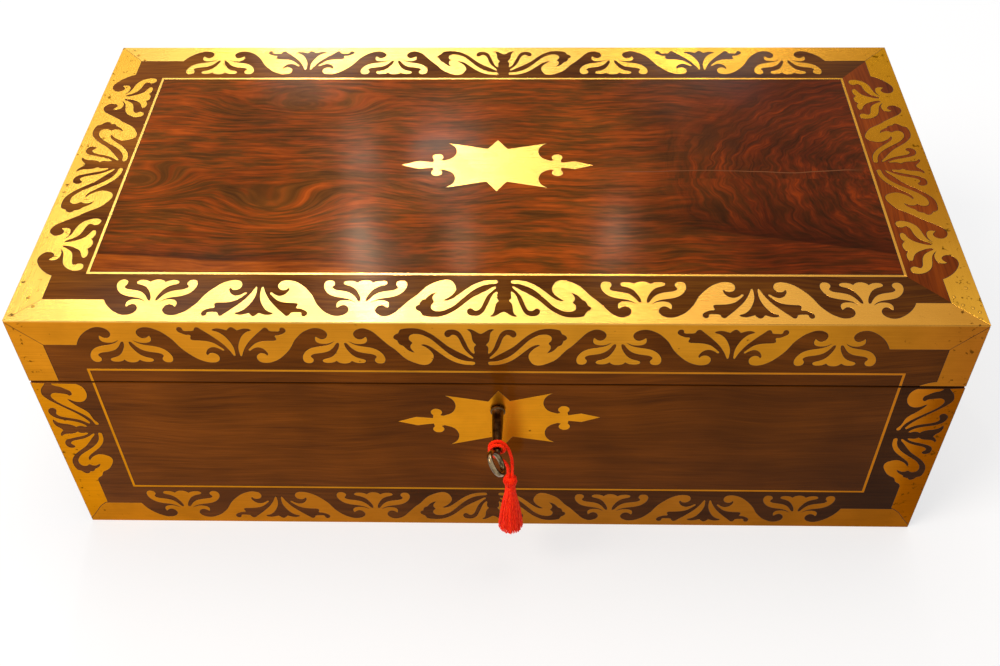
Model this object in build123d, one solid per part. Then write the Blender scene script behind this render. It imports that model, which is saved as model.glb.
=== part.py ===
from build123d import *
import math
import os

# Driving dimensions, in millimetres. X runs along the box, -Y is the lock side, Z is up.
LENGTH = 508.0
DEPTH = 258.0
HEIGHT = 178.0
FRONT_PARTING = 130.5
BACK_PARTING = HEIGHT / 2
PARTING_GAP = 0.8
BOARD = 9.0
VENEER = 1.0
FLOOR_BOARD = 7.0
STRINGING = 1.5

# Brass inlay seen on the outside: solid edge strip, and the deeper zone of cut scrolls between corners
EDGE_STRIP = 16.0
SCROLL_ZONE = 30.0
SCROLL_END = 30.0
STRING_X = 219.0
STRING_Y = 92.5
STRING_LID = 140.5
STRING_BASE = 36.0
CARTOUCHE_Y = 2.2
ESCUTCHEON_X = 2.6
ESCUTCHEON_Z = 100.9
ESCUTCHEON_TILT = 2.4

# Writing flaps, let down below the rims of each half
FLAP_DROP = 2.0
FLAP_BOARD = 6.0
LEATHER = 0.8
FLAP_BORDER = 11.0
FLAP_GAP = 0.6
HINGE_RAIL = 14.0
LEDGE = 6.0

# Pen and ink compartment on the lock side of the base
COMPARTMENT = 60.0
PARTITION = 6.0
CELL_WALL = 5.0
TRAY_HALF = 184.0
INK_SHELF = 60.0

# Butt hinges of the lid and of the writing flaps
HINGE_CENTRES = (-165.0, 165.0)
HINGE_LENGTH = 60.0
HINGE_RADIUS = 2.6
HINGE_PIN = 1.2
HINGE_LEAF = 1.4
HINGE_LEAF_DEPTH = 9.5
HINGE_OVERHANG = 0.6
FLAP_HINGE_LENGTH = 32.0
FLAP_HINGE_RADIUS = 1.2
FLAP_HINGE_PIN = 0.6
FLAP_HINGE_LEAF = 0.8
BASE_FLAP_HINGES = (-150.0, 150.0)
LID_FLAP_HINGES = (-105.0, 105.0)
RUNNING_FIT = 0.06

# Lock and key
KEY_X = 2.2
KEY_Z = 109.5
KEY_TILT = 29.0
LOCK_HALF = 36.0
LOCK_BOTTOM = 90.0
LOCK_FRONT = -124.0
LOCK_BACK = -115.5
STAPLES = (-20.0, 20.0)
BOW_CENTRE = -166.6
BOW_HALF_WIDTH = 7.0
BOW_HALF_LENGTH = 5.7
BOW_WIRE = 1.5

# Carrying handles
HANDLE_Z = 58.0
PLATE_LENGTH = 92.0
PLATE_HEIGHT = 44.0
PLATE = 1.6
PAN_LENGTH = 64.0
PAN_HEIGHT = 28.0
PAN_DEPTH = 6.6
BAIL = 4.0
BAIL_SET_BACK = 0.2

CORD_DIAMETER = 2.0
TASSEL_X = 9.2
TASSEL_Y = -158.0

half_x = LENGTH / 2
half_y = DEPTH / 2
board_x = half_x - VENEER
board_y = half_y - VENEER
inner_x = board_x - BOARD
inner_y = board_y - BOARD
slope = (FRONT_PARTING - BACK_PARTING) / DEPTH
half_gap = PARTING_GAP / 2
lid_board_bottom = HEIGHT - VENEER - FLOOR_BOARD
lid_veneer_bottom = HEIGHT - VENEER

parts = {}


def keep(name, *shapes):
    """Store every solid of the shapes under one node name."""
    parts[name] = [solid for shape in shapes for solid in shape.solids()]


def parting(y):
    """Height of the sloping plane between lid and base."""
    return FRONT_PARTING - (y + half_y) * slope


def block(x0, x1, y0, y1, z0, z1):
    return Pos((x0 + x1) / 2, (y0 + y1) / 2, (z0 + z1) / 2) * Box(x1 - x0, y1 - y0, z1 - z0)


def prism(x0, x1, outline):
    """Extrude an outline of (y, z) points along X."""
    return extrude(Plane.YZ.offset(x0) * Polygon(*outline, align=None), x1 - x0, dir=(1, 0, 0))


def base_wall(x0, x1, y0, y1, bottom):
    """A wall from a level bottom up to the cut face of the base."""
    top0 = parting(y0) - half_gap
    top1 = parting(y1) - half_gap
    return prism(x0, x1, [(y0, bottom), (y1, bottom), (y1, top1), (y0, top0)])


def lid_wall(x0, x1, y0, y1, top):
    """A wall from the cut face of the lid up to a level top."""
    low0 = parting(y0) + half_gap
    low1 = parting(y1) + half_gap
    return prism(x0, x1, [(y0, low0), (y1, low1), (y1, top), (y0, top)])


def sloped(x0, x1, y0, y1, low, high):
    """A board parallel to the cut, between two heights above the parting plane."""
    outline = [(y0, parting(y0) + low), (y1, parting(y1) + low)]
    outline += [(y1, parting(y1) + high), (y0, parting(y0) + high)]
    return prism(x0, x1, outline)


def rod(radius, x0, x1, y, z):
    """A round bar along X."""
    return Pos((x0 + x1) / 2, y, z) * Rot(0, 90, 0) * Cylinder(radius, x1 - x0)


def front_plate(outline):
    """Extrude an outline of (x, z) points through the veneer of the lock side."""
    return extrude(Plane.XZ.offset(board_y) * Polygon(*outline, align=None), VENEER, dir=(0, -1, 0))


def top_plate(outline):
    """Extrude an outline of (x, y) points through the veneer of the lid's top."""
    return extrude(Plane.XY.offset(lid_veneer_bottom) * Polygon(*outline, align=None), VENEER, dir=(0, 0, 1))


def mirrored_x(outline):
    """Close a half outline, given from its left end to its right end, with its mirror about x = 0."""
    return outline + [(-x, other) for x, other in reversed(outline)]


def screw(radius, length, place):
    """A slotted countersunk wood screw, head up at the origin of its place, shank along -Z."""
    head = Pos(0, 0, -radius / 2) * Cone(radius * 0.5, radius, radius)
    shank = Pos(0, 0, -length / 2) * Cylinder(radius * 0.5, length)
    slot = Pos(0, 0, -0.2) * Box(2 * radius + 1, radius * 0.25, 0.4)
    body = head + shank
    return place * (body - slot), place * body


# Bat-winged cartouche shared by the lid's centre ornament and the keyhole plate, drawn about its centre
cartouche_tip = (0.0, 24.3)
cartouche_notch = (6.0, 15.5)
cartouche_wing = (29.5, 21.2)
cartouche_waist = (31.5, 4.0)
cartouche_spear = [(37.8, 2.6), (46.2, 3.6), (56.7, 0.0)]
hollow_centre = (33.8, 13.0)
hollow_radius = 9.35
lobe_x = 35.5
lobe_y = 7.1
lobe_radius = 3.2
lobe_neck = 4.6


def cartouche_sketch():
    """Union of the winged body, the spears and the paired lobes; all outlines run anticlockwise."""
    quarter = [cartouche_waist, cartouche_wing, cartouche_notch]
    upper = quarter + [cartouche_tip] + [(-x, y) for x, y in reversed(quarter)]
    shape = Polygon(*upper, *[(-x, -y) for x, y in upper], align=None)
    spear = [(x, -y) for x, y in [cartouche_waist] + cartouche_spear[:-1]]
    spear += [(x, y) for x, y in reversed([cartouche_waist] + cartouche_spear)]
    for side in (-1, 1):
        for up in (-1, 1):
            shape -= Pos(side * hollow_centre[0], up * hollow_centre[1]) * Circle(hollow_radius)
    shape += Polygon(*spear, align=None)
    shape += Polygon(*[(-x, -y) for x, y in spear], align=None)
    for side in (-1, 1):
        shape += Pos(side * lobe_x, 0) * Rectangle(lobe_neck, 2 * lobe_y)
        for up in (-1, 1):
            shape += Pos(side * lobe_x, up * lobe_y) * Circle(lobe_radius)
    return shape


# Main hinges: butt hinges let into the two cut faces, their knuckles proud of the back
hinge_y = half_y + HINGE_OVERHANG
hinge_z = BACK_PARTING
leaf_end = half_y - HINGE_LEAF_DEPTH
knuckles = 5
knuckle_length = HINGE_LENGTH / knuckles
knuckle_play = 0.15
knuckle_clear = 0.4
strap_lap = 0.5
pin_set_back = 0.3
hinge_screw = (1.9, 9.0)
hinge_screw_offsets = (-22.0, 0.0, 22.0)
base_leaves = []
lid_leaves = []
hinge_pins = []
knuckle_room = []
base_leaf_room = []
lid_leaf_room = []
base_screws = []
lid_screws = []
base_hinge_screw_room = []
lid_hinge_screw_room = []
slope_angle = math.degrees(math.atan(slope))

for centre in HINGE_CENTRES:
    start = centre - HINGE_LENGTH / 2
    end = centre + HINGE_LENGTH / 2
    near_knuckle = hinge_y - HINGE_RADIUS - strap_lap
    base_leaf = sloped(start, end, leaf_end, near_knuckle, -half_gap - HINGE_LEAF, -half_gap)
    lid_leaf = sloped(start, end, leaf_end, near_knuckle, half_gap, half_gap + HINGE_LEAF)
    base_leaf_room.append(sloped(start, end, leaf_end, half_y, -half_gap - HINGE_LEAF, 0))
    lid_leaf_room.append(sloped(start, end, leaf_end, half_y, 0, half_gap + HINGE_LEAF))
    knuckle_room.append(rod(HINGE_RADIUS + knuckle_clear, start - knuckle_clear, end + knuckle_clear,
                            hinge_y, hinge_z))
    for number in range(knuckles):
        x0 = start + number * knuckle_length + knuckle_play
        x1 = start + (number + 1) * knuckle_length - knuckle_play
        barrel = rod(HINGE_RADIUS, x0, x1, hinge_y, hinge_z)
        if number % 2 == 0:
            strap = sloped(x0, x1, near_knuckle - strap_lap, hinge_y, -half_gap - HINGE_LEAF, -half_gap)
            base_leaf = base_leaf + barrel + strap - rod(HINGE_PIN, x0, x1, hinge_y, hinge_z)
        else:
            strap = sloped(x0, x1, near_knuckle - strap_lap, hinge_y, half_gap, half_gap + HINGE_LEAF)
            bore = rod(HINGE_PIN + RUNNING_FIT, x0, x1, hinge_y, hinge_z)
            lid_leaf = lid_leaf + barrel + strap - bore
    for offset in hinge_screw_offsets:
        screw_y = (leaf_end + near_knuckle) / 2
        down = Pos(centre + offset, screw_y, parting(screw_y) - half_gap) * Rot(-slope_angle, 0, 0)
        up = Pos(centre + offset, screw_y, parting(screw_y) + half_gap) * Rot(180 - slope_angle, 0, 0)
        driven, room = screw(*hinge_screw, down)
        base_screws.append(driven)
        base_hinge_screw_room.append(room)
        base_leaf -= room
        driven, room = screw(*hinge_screw, up)
        lid_screws.append(driven)
        lid_hinge_screw_room.append(room)
        lid_leaf -= room
    base_leaves.append(base_leaf)
    lid_leaves.append(lid_leaf)
    hinge_pins.append(rod(HINGE_PIN, start + pin_set_back, end - pin_set_back, hinge_y, hinge_z))

keep("hinge_base_leaves", *base_leaves)
keep("hinge_lid_leaves", *lid_leaves)
keep("hinge_pins", *hinge_pins)


# Carrying handles: a flush brass plate with a sunk pan on each end of the base, and its bail
bail_width = 5.0
arm_width = 4.5
pivot_pin = 1.2
pin_reach = 4.0
pan_wall = 1.0
bearing_half = 3.0
plate_screw = (2.0, 8.0)
plate_screw_inset = 6.0
grip_z = bail_width / 2 + 2.0 - PAN_HEIGHT / 2
pivot_z = -grip_z
bail_y = PAN_LENGTH / 2 - 1.0
pivot_y = bail_y + pin_reach


def handle(side):
    """Plate, bail, plate room and screws for the end at side = -1 (left) or 1 (right)."""

    def across(depth0, depth1, y0, y1, z0, z1):
        x0 = side * (half_x - depth0)
        x1 = side * (half_x - depth1)
        return block(min(x0, x1), max(x0, x1), y0, y1, HANDLE_Z + z0, HANDLE_Z + z1)

    def centred(depth0, depth1, length, height):
        return across(depth0, depth1, -length / 2, length / 2, -height / 2, height / 2)

    axis_x = side * (half_x - (BAIL_SET_BACK + BAIL) / 2)
    pin_place = Pos(axis_x, 0, HANDLE_Z + pivot_z) * Rot(90, 0, 0)
    plate_room = centred(0, PLATE, PLATE_LENGTH, PLATE_HEIGHT)
    pan_room = centred(0, PAN_DEPTH + pan_wall, PAN_LENGTH + 2 * pan_wall, PAN_HEIGHT + 2 * pan_wall)
    bearing = across(PLATE, BAIL + PLATE, -pivot_y - pan_wall, pivot_y + pan_wall, pivot_z - bearing_half,
                     pivot_z + bearing_half)
    solid_plate = plate_room + pan_room + bearing
    pan = centred(0, PAN_DEPTH, PAN_LENGTH, PAN_HEIGHT)
    plate = solid_plate - pan - pin_place * Cylinder(pivot_pin + RUNNING_FIT, 2 * pivot_y + 0.4)

    grip_low = grip_z - bail_width / 2
    bail = across(BAIL_SET_BACK, BAIL, -bail_y, bail_y, grip_low, grip_low + bail_width)
    for end in (-1, 1):
        arm_y = end * (bail_y - arm_width / 2)
        bail += across(BAIL_SET_BACK, BAIL, arm_y - arm_width / 2, arm_y + arm_width / 2, grip_low, pivot_z)
        bail += Pos(0, arm_y, 0) * pin_place * Cylinder((BAIL - BAIL_SET_BACK) / 2, arm_width)
        bail += Pos(0, end * (pivot_y - pin_reach), 0) * pin_place * Cylinder(pivot_pin, 2 * pin_reach)

    driven = []
    rooms = []
    screw_y = PLATE_LENGTH / 2 - plate_screw_inset
    screw_z = PLATE_HEIGHT / 2 - plate_screw_inset
    for y in (-screw_y, screw_y):
        for z in (-screw_z, screw_z):
            place = Pos(side * half_x, y, HANDLE_Z + z) * Rot(0, side * 90, 0)
            one, room = screw(*plate_screw, place)
            driven.append(one)
            rooms.append(room)
    return plate - rooms, bail, solid_plate + pan, driven, rooms


left_plate, left_bail, left_room, left_screws, left_screw_room = handle(-1)
right_plate, right_bail, right_room, right_screws, right_screw_room = handle(1)
keep("left_handle_plate", left_plate)
keep("left_handle_bail", left_bail)
keep("right_handle_plate", right_plate)
keep("right_handle_bail", right_bail)
base_screws += left_screws + right_screws

# Lock: a case let into the back of the front board, its selvedge flush with the cut face
case_wall = 1.0
case_rim = 1.5
cavity_front = LOCK_FRONT + case_wall
cavity_back = LOCK_BACK - case_wall
cavity_floor = LOCK_BOTTOM + case_rim
cavity_top = 125.5
staple_slot_half = 2.2
staple_slot_back = cavity_back - 0.3
lock_top = parting(LOCK_FRONT) - half_gap
lock_room = base_wall(-LOCK_HALF, LOCK_HALF, LOCK_FRONT, LOCK_BACK, LOCK_BOTTOM)
cavity_x = LOCK_HALF - case_rim
cavity = block(-cavity_x, cavity_x, cavity_front, cavity_back, cavity_floor, cavity_top)
lock_case = lock_room - cavity
for x in STAPLES:
    lock_case -= block(x - staple_slot_half, x + staple_slot_half, cavity_front, staple_slot_back,
                       cavity_top - 1, lock_top + 1)

# Keyholes: radius of the round part, half width of the slot, and the slot's drop below the centre
case_keyhole = (3.3, 1.5, 9.6)
plate_keyhole = (3.6, 1.7, 9.8)


def key_hole(sizes, y0, y1):
    """Round hole with a slot below it, between two y values."""
    radius, slot_half, slot_drop = sizes
    round_part = Pos(KEY_X, (y0 + y1) / 2, KEY_Z) * Rot(90, 0, 0) * Cylinder(radius, y1 - y0)
    return round_part + block(KEY_X - slot_half, KEY_X + slot_half, y0, y1, KEY_Z - slot_drop, KEY_Z)


lock_case -= key_hole(case_keyhole, LOCK_FRONT - 1, cavity_front)

# Bolt: a flat bar that slides on two guides, with a hook beside each staple that catches it when locked
bar_left = -32.6
bar_right = 28.0
bar_front = -122.7
bar_back = -120.1
bar_low = 113.0
bar_high = 118.0
guide_centres = (-33.0, 26.0)
guide_half = 1.5
guide_gap = 0.1
hook_front = -122.0
hook_back = -120.3
hook_top = 124.2
arm_left = 12.4
arm_right = 8.4
tooth_tip = 2.7
tooth_low = 120.3
for x in guide_centres:
    lock_case += block(x - guide_half, x + guide_half, cavity_front, bar_back + guide_gap, cavity_floor,
                       bar_low - guide_gap)
lock_bolt = block(bar_left, bar_right, bar_front, bar_back, bar_low, bar_high)
for x in STAPLES:
    lock_bolt += block(x - arm_left, x - arm_right, hook_front, hook_back, bar_high, hook_top)
    lock_bolt += block(x - arm_right, x - tooth_tip, hook_front, hook_back, tooth_low, hook_top)
keep("lock_bolt", lock_bolt)

# Link plate: let into the lid's cut face, with the two staples that drop into the lock
link_half = 30.0
link_front = -126.0
link_back = -117.0
link_thickness = 1.6
link_screw_inset = 4.0
link_screw = (1.8, 8.0)
staple_half = 1.25
staple_front = -122.9
staple_back = -119.1
staple_low = 119.0
staple_top = 130.6
eye_front = -122.1
eye_back = -120.0
eye_low = 119.9
eye_top = 124.6
link_room = sloped(-link_half, link_half, link_front, link_back, half_gap, half_gap + link_thickness)
link_plate = link_room
for x in STAPLES:
    staple = block(x - staple_half, x + staple_half, staple_front, staple_back, staple_low, staple_top)
    link_plate += staple - block(x - staple_half, x + staple_half, eye_front, eye_back, eye_low, eye_top)
link_screw_room = []
link_screw_y = (link_front + link_back) / 2
for x in (link_screw_inset - link_half, link_half - link_screw_inset):
    up = Pos(x, link_screw_y, parting(link_screw_y) + half_gap) * Rot(180 - slope_angle, 0, 0)
    driven, room = screw(*link_screw, up)
    lid_screws.append(driven)
    link_screw_room.append(room)
    link_plate -= room
keep("lock_link_plate", link_plate)

lock_screw = (1.5, 8.0)
lock_screw_inset = 5.0
lock_screw_rise = 6.0
lock_screw_room = []
for x in (lock_screw_inset - LOCK_HALF, LOCK_HALF - lock_screw_inset):
    place = Pos(x, LOCK_BACK, LOCK_BOTTOM + lock_screw_rise) * Rot(-90, 0, 0)
    driven, room = screw(*lock_screw, place)
    base_screws.append(driven)
    lock_screw_room.append(room)
    lock_case -= room
keep("lock_case", lock_case)

# Key: forged stem with a collar, an oval bow tilted as in the photograph, and a bit inside the lock
stem_profile = [(0, -117.2), (2.9, -117.2), (2.9, -129.5), (4.25, -129.8), (4.25, -131.0), (3.3, -132.4),
                (3.1, -136.0), (2.9, -146.0), (2.2, -154.5), (2.0, -159.0), (1.2, -160.6), (0, -160.6)]
stem = revolve(Polygon(*stem_profile, align=None), Axis.Y)
bow_straight = BOW_HALF_WIDTH - BOW_HALF_LENGTH
bow_reach = BOW_HALF_WIDTH + BOW_WIRE
bow = rod(BOW_WIRE, -bow_straight, bow_straight, BOW_HALF_LENGTH, 0)
bow += rod(BOW_WIRE, -bow_straight, bow_straight, -BOW_HALF_LENGTH, 0)
for side in (-1, 1):
    half_space = Pos(side * bow_reach / 2, 0, 0) * Box(bow_reach, 2 * bow_reach, 2 * bow_reach)
    bow += Pos(side * bow_straight, 0, 0) * (Torus(BOW_HALF_LENGTH, BOW_WIRE) & half_space)
bow = Pos(0, BOW_CENTRE, 0) * bow
bit_reach = 9.0
bit_half = 1.1
bit_front = -119.6
bit_back = -117.3
ward_middle = 5.8
ward_half = 0.6
ward_front = -118.6
bit = block(2.0, bit_reach, bit_front, bit_back, -bit_half, bit_half)
bit -= block(ward_middle - ward_half, ward_middle + ward_half, ward_front, bit_back + 1, -bit_half, bit_half)
key = Pos(KEY_X, 0, KEY_Z) * Rot(0, 90 - KEY_TILT, 0) * (stem + bow + bit)
keep("key", key)

# Silk cord wound round the key's neck, and the tassel that hangs from it
cord_route = [(10.3, -158.2, 86.4), (10.4, -158.0, 93.0), (10.4, -157.2, 99.0), (9.4, -156.2, 105.0),
              (7.4, -155.2, 110.2), (4.6, -154.8, 113.2), (2.2, -154.9, 113.7), (0.1, -155.1, 113.1),
              (-1.4, -155.3, 111.6), (-2.0, -155.5, 109.5), (-1.4, -155.7, 107.4), (0.1, -155.9, 105.9),
              (2.2, -156.1, 105.3), (4.3, -156.4, 105.9), (5.8, -156.7, 107.4), (6.4, -157.0, 109.5),
              (5.8, -157.2, 111.6), (4.3, -157.4, 113.1), (2.2, -157.5, 113.7), (0.1, -157.6, 113.1),
              (-1.4, -157.7, 111.6), (-2.0, -157.8, 109.5), (-1.5, -157.9, 107.2), (0.4, -158.0, 104.9),
              (3.4, -158.1, 102.8), (6.4, -158.2, 99.9), (8.0, -158.2, 96.0), (8.2, -158.2, 91.5),
              (8.2, -158.2, 86.4)]


def corner_radii(route):
    """The largest tangent arc that the shorter run beside each corner allows."""
    points = [Vector(*point) for point in route]
    radii = []
    for before, here, after in zip(points, points[1:], points[2:]):
        turn = (here - before).get_angle(after - here)
        shorter = min((here - before).length, (after - here).length)
        radii.append(0.45 * shorter / math.tan(math.radians(turn / 2)))
    return radii


radii = corner_radii(cord_route)
cord_path = FilletPolyline(*cord_route, radius=radii)
cord_section = Plane(origin=cord_path @ 0, z_dir=cord_path % 0) * Circle(CORD_DIAMETER / 2)
key_cord = sweep(cord_section, cord_path)
keep("key_cord", key_cord)
print("cord radii", [round(radius, 1) for radius in radii])
print("cord length", round(cord_path.length, 2), "volume", round(key_cord.volume, 2),
      "section times length", round(cord_path.length * math.pi * (CORD_DIAMETER / 2) ** 2, 2))

tassel_profile = [(0, 86.4), (3.0, 86.4), (3.8, 84.6), (3.8, 82.2), (2.7, 79.2), (2.8, 76.0), (3.0, 72.0),
                  (4.9, 62.5), (6.1, 53.5), (6.9, 45.0), (7.2, 41.5), (0, 41.5)]
tassel = Pos(TASSEL_X, TASSEL_Y, 0) * revolve(Plane.XZ * Polygon(*tassel_profile, align=None), Axis.Z)
keep("tassel", tassel)

# Carcass of the base
front_lock_room = [lock_room, key_hole(plate_keyhole, -half_y - 1, LOCK_FRONT)] + lock_screw_room
keep("base_floor", block(-board_x, board_x, -board_y, board_y, 0, FLOOR_BOARD))
keep("base_front_board", base_wall(-board_x, board_x, -board_y, -inner_y, FLOOR_BOARD) - front_lock_room)
back_cuts = knuckle_room + base_leaf_room + base_hinge_screw_room
keep("base_back_board", base_wall(-board_x, board_x, inner_y, board_y, FLOOR_BOARD) - back_cuts)
left_cuts = [left_room] + left_screw_room
right_cuts = [right_room] + right_screw_room
keep("base_left_board", base_wall(-board_x, -inner_x, -inner_y, inner_y, FLOOR_BOARD) - left_cuts)
keep("base_right_board", base_wall(inner_x, board_x, -inner_y, inner_y, FLOOR_BOARD) - right_cuts)

# Carcass of the lid
front_lid_cuts = [link_room] + link_screw_room
keep("lid_top_board", block(-board_x, board_x, -board_y, board_y, lid_board_bottom, lid_veneer_bottom))
keep("lid_front_board", lid_wall(-board_x, board_x, -board_y, -inner_y, lid_board_bottom) - front_lid_cuts)
back_lid_cuts = knuckle_room + lid_leaf_room + lid_hinge_screw_room
keep("lid_back_board", lid_wall(-board_x, board_x, inner_y, board_y, lid_board_bottom) - back_lid_cuts)
keep("lid_left_board", lid_wall(-board_x, -inner_x, -inner_y, inner_y, lid_board_bottom))
keep("lid_right_board", lid_wall(inner_x, board_x, -inner_y, inner_y, lid_board_bottom))

# Brass inlay of the base front: bottom strip with its scroll zone, end strips, stringing, keyhole plate
base_front_top = parting(-half_y) - half_gap
corner_x = half_x - EDGE_STRIP
scroll_x = half_x - SCROLL_END
bottom_strip = mirrored_x([(-half_x, 0), (-corner_x, EDGE_STRIP), (-scroll_x, EDGE_STRIP),
                           (-scroll_x, SCROLL_ZONE + 2)])
end_zone = 42.0
left_end = [(-half_x, 0), (-corner_x, EDGE_STRIP), (-corner_x, end_zone), (-scroll_x, end_zone),
            (-scroll_x, base_front_top), (-half_x, base_front_top)]
right_end = [(-x, z) for x, z in left_end]
base_border = [front_plate(outline) for outline in (bottom_strip, left_end, right_end)]
keep("base_front_border", *base_border)
line = STRINGING / 2
left_line = [(-STRING_X - line, STRING_BASE - line), (-STRING_X + line, STRING_BASE + line),
             (-STRING_X + line, base_front_top), (-STRING_X - line, base_front_top)]
bottom_line = mirrored_x([(-STRING_X - line, STRING_BASE - line), (-STRING_X + line, STRING_BASE + line)])
right_line = [(-x, z) for x, z in left_line]
base_string = [front_plate(outline) for outline in (left_line, bottom_line, right_line)]
keep("base_front_stringing", *base_string)
plate_plane = Plane(origin=(ESCUTCHEON_X, -board_y, ESCUTCHEON_Z), x_dir=(1, 0, 0), z_dir=(0, -1, 0))
plate_sketch = Rot(0, 0, ESCUTCHEON_TILT) * cartouche_sketch()
plate_blank = extrude(plate_plane * plate_sketch, VENEER, dir=(0, -1, 0))
keyhole_cut = key_hole(plate_keyhole, -half_y - 1, -board_y)
keep("key_escutcheon", plate_blank - keyhole_cut)

# Brass inlay of the lid front
lid_front_low = parting(-half_y) + half_gap
strip_low = lid_veneer_bottom - EDGE_STRIP
top_strip = mirrored_x([(-half_x, lid_veneer_bottom), (-corner_x, strip_low), (-scroll_x, strip_low),
                        (-scroll_x, lid_veneer_bottom - SCROLL_ZONE - 1)])
left_tab = [(-half_x, lid_veneer_bottom), (-corner_x, strip_low), (-corner_x, lid_front_low),
            (-half_x, lid_front_low)]
right_tab = [(-x, z) for x, z in left_tab]
lid_border = [front_plate(outline) for outline in (top_strip, left_tab, right_tab)]
keep("lid_front_border", *lid_border)
left_line = [(-STRING_X - line, STRING_LID + line), (-STRING_X + line, STRING_LID - line),
             (-STRING_X + line, lid_front_low), (-STRING_X - line, lid_front_low)]
top_line = mirrored_x([(-STRING_X - line, STRING_LID + line), (-STRING_X + line, STRING_LID - line)])
right_line = [(-x, z) for x, z in left_line]
lid_string = [front_plate(outline) for outline in (left_line, top_line, right_line)]
keep("lid_front_stringing", *lid_string)

# Brass inlay of the lid's top: four mitred strips with their scroll zones, stringing and cartouche
scroll_y = half_y - SCROLL_END - 2
corner_y = half_y - EDGE_STRIP
front_strip = mirrored_x([(-half_x, -half_y), (-corner_x, -corner_y), (-scroll_x, -corner_y),
                          (-scroll_x, -half_y + SCROLL_ZONE)])
back_strip = [(x, -y) for x, y in front_strip]
right_strip = [(half_x, -half_y), (corner_x, -corner_y), (corner_x, -scroll_y),
               (half_x - SCROLL_ZONE, -scroll_y)]
right_strip = right_strip + [(x, -y) for x, y in reversed(right_strip)]
left_strip = [(-x, y) for x, y in right_strip]
top_border = {"front": front_strip, "back": back_strip, "left": left_strip, "right": right_strip}
top_brass = []
for side, outline in top_border.items():
    strip = top_plate(outline)
    keep("lid_top_border_" + side, strip)
    top_brass.append(strip)
outer = [(-STRING_X - line, -STRING_Y - line), (STRING_X + line, -STRING_Y - line)]
inner = [(-STRING_X + line, -STRING_Y + line), (STRING_X - line, -STRING_Y + line)]
front_line = [outer[0], outer[1], inner[1], inner[0]]
back_line = [(x, -y) for x, y in front_line]
left_line = [(-STRING_X - line, -STRING_Y - line), (-STRING_X + line, -STRING_Y + line),
             (-STRING_X + line, STRING_Y - line), (-STRING_X - line, STRING_Y + line)]
right_line = [(-x, y) for x, y in left_line]
top_string = [top_plate(outline) for outline in (front_line, back_line, left_line, right_line)]
keep("lid_top_stringing", *top_string)
centre_plane = Plane.XY.offset(lid_veneer_bottom) * Pos(0, CARTOUCHE_Y)
top_cartouche = extrude(centre_plane * cartouche_sketch(), VENEER, dir=(0, 0, 1))
keep("lid_cartouche", top_cartouche)

# Rosewood veneers, cut away under the brass
front_veneer = base_wall(-half_x, half_x, -half_y, -board_y, 0)
keep("base_front_veneer", front_veneer - base_border - base_string - [plate_blank, keyhole_cut])
side_room = [left_room, right_room] + left_screw_room + right_screw_room
left_veneer = base_wall(-half_x, -board_x, -board_y, board_y, 0) - side_room
right_veneer = base_wall(board_x, half_x, -board_y, board_y, 0) - side_room
keep("base_side_veneers", left_veneer, right_veneer)
keep("base_back_veneer", base_wall(-half_x, half_x, board_y, half_y, 0) - knuckle_room - base_leaf_room)
lid_top_veneer = block(-half_x, half_x, -half_y, half_y, lid_veneer_bottom, HEIGHT)
keep("lid_top_veneer", lid_top_veneer - top_brass - top_string - [top_cartouche])
lid_front_veneer = lid_wall(-half_x, half_x, -half_y, -board_y, lid_veneer_bottom)
keep("lid_front_veneer", lid_front_veneer - lid_border - lid_string)
left_veneer = lid_wall(-half_x, -board_x, -board_y, board_y, lid_veneer_bottom)
right_veneer = lid_wall(board_x, half_x, -board_y, board_y, lid_veneer_bottom)
keep("lid_side_veneers", left_veneer, right_veneer)
lid_back_veneer = lid_wall(-half_x, half_x, board_y, half_y, lid_veneer_bottom)
keep("lid_back_veneer", lid_back_veneer - knuckle_room - lid_leaf_room)

# Compartments on the lock side of the base: long partition, cell walls, ink shelves and tray rails
partition_front = -inner_y + COMPARTMENT
partition_back = partition_front + PARTITION
divider_top = -FLAP_DROP
front_space = -inner_y


def full_height(x0, x1, y0, y1):
    """A divider from the floor board up to just below the rims."""
    outline = [(y0, FLOOR_BOARD), (y1, FLOOR_BOARD), (y1, parting(y1) + divider_top),
               (y0, parting(y0) + divider_top)]
    return prism(x0, x1, outline)


divider = full_height(-inner_x, inner_x, partition_front, partition_back)
wall_x = TRAY_HALF + 0.5
left_cell_wall = full_height(-wall_x - CELL_WALL, -wall_x, front_space, partition_front)
right_cell_wall = full_height(wall_x, wall_x + CELL_WALL, front_space, partition_front)
cell_start = wall_x + CELL_WALL
tray_bottom = 96.0
shelf_board = 5.0
rail_width = 6.0
shelves = []
rails = []
for side in (-1, 1):
    shelf_x = side * (inner_x + cell_start) / 2
    shelf = Box(inner_x - cell_start, COMPARTMENT, shelf_board)
    shelves.append(Pos(shelf_x, front_space + COMPARTMENT / 2, INK_SHELF - shelf_board / 2) * shelf)
    rail = Box(rail_width, COMPARTMENT, rail_width)
    rail_x = side * (wall_x - rail_width / 2)
    rails.append(Pos(rail_x, front_space + COMPARTMENT / 2, tray_bottom - rail_width / 2) * rail)
keep("compartment_dividers", divider, left_cell_wall, right_cell_wall, *shelves, *rails)

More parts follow.
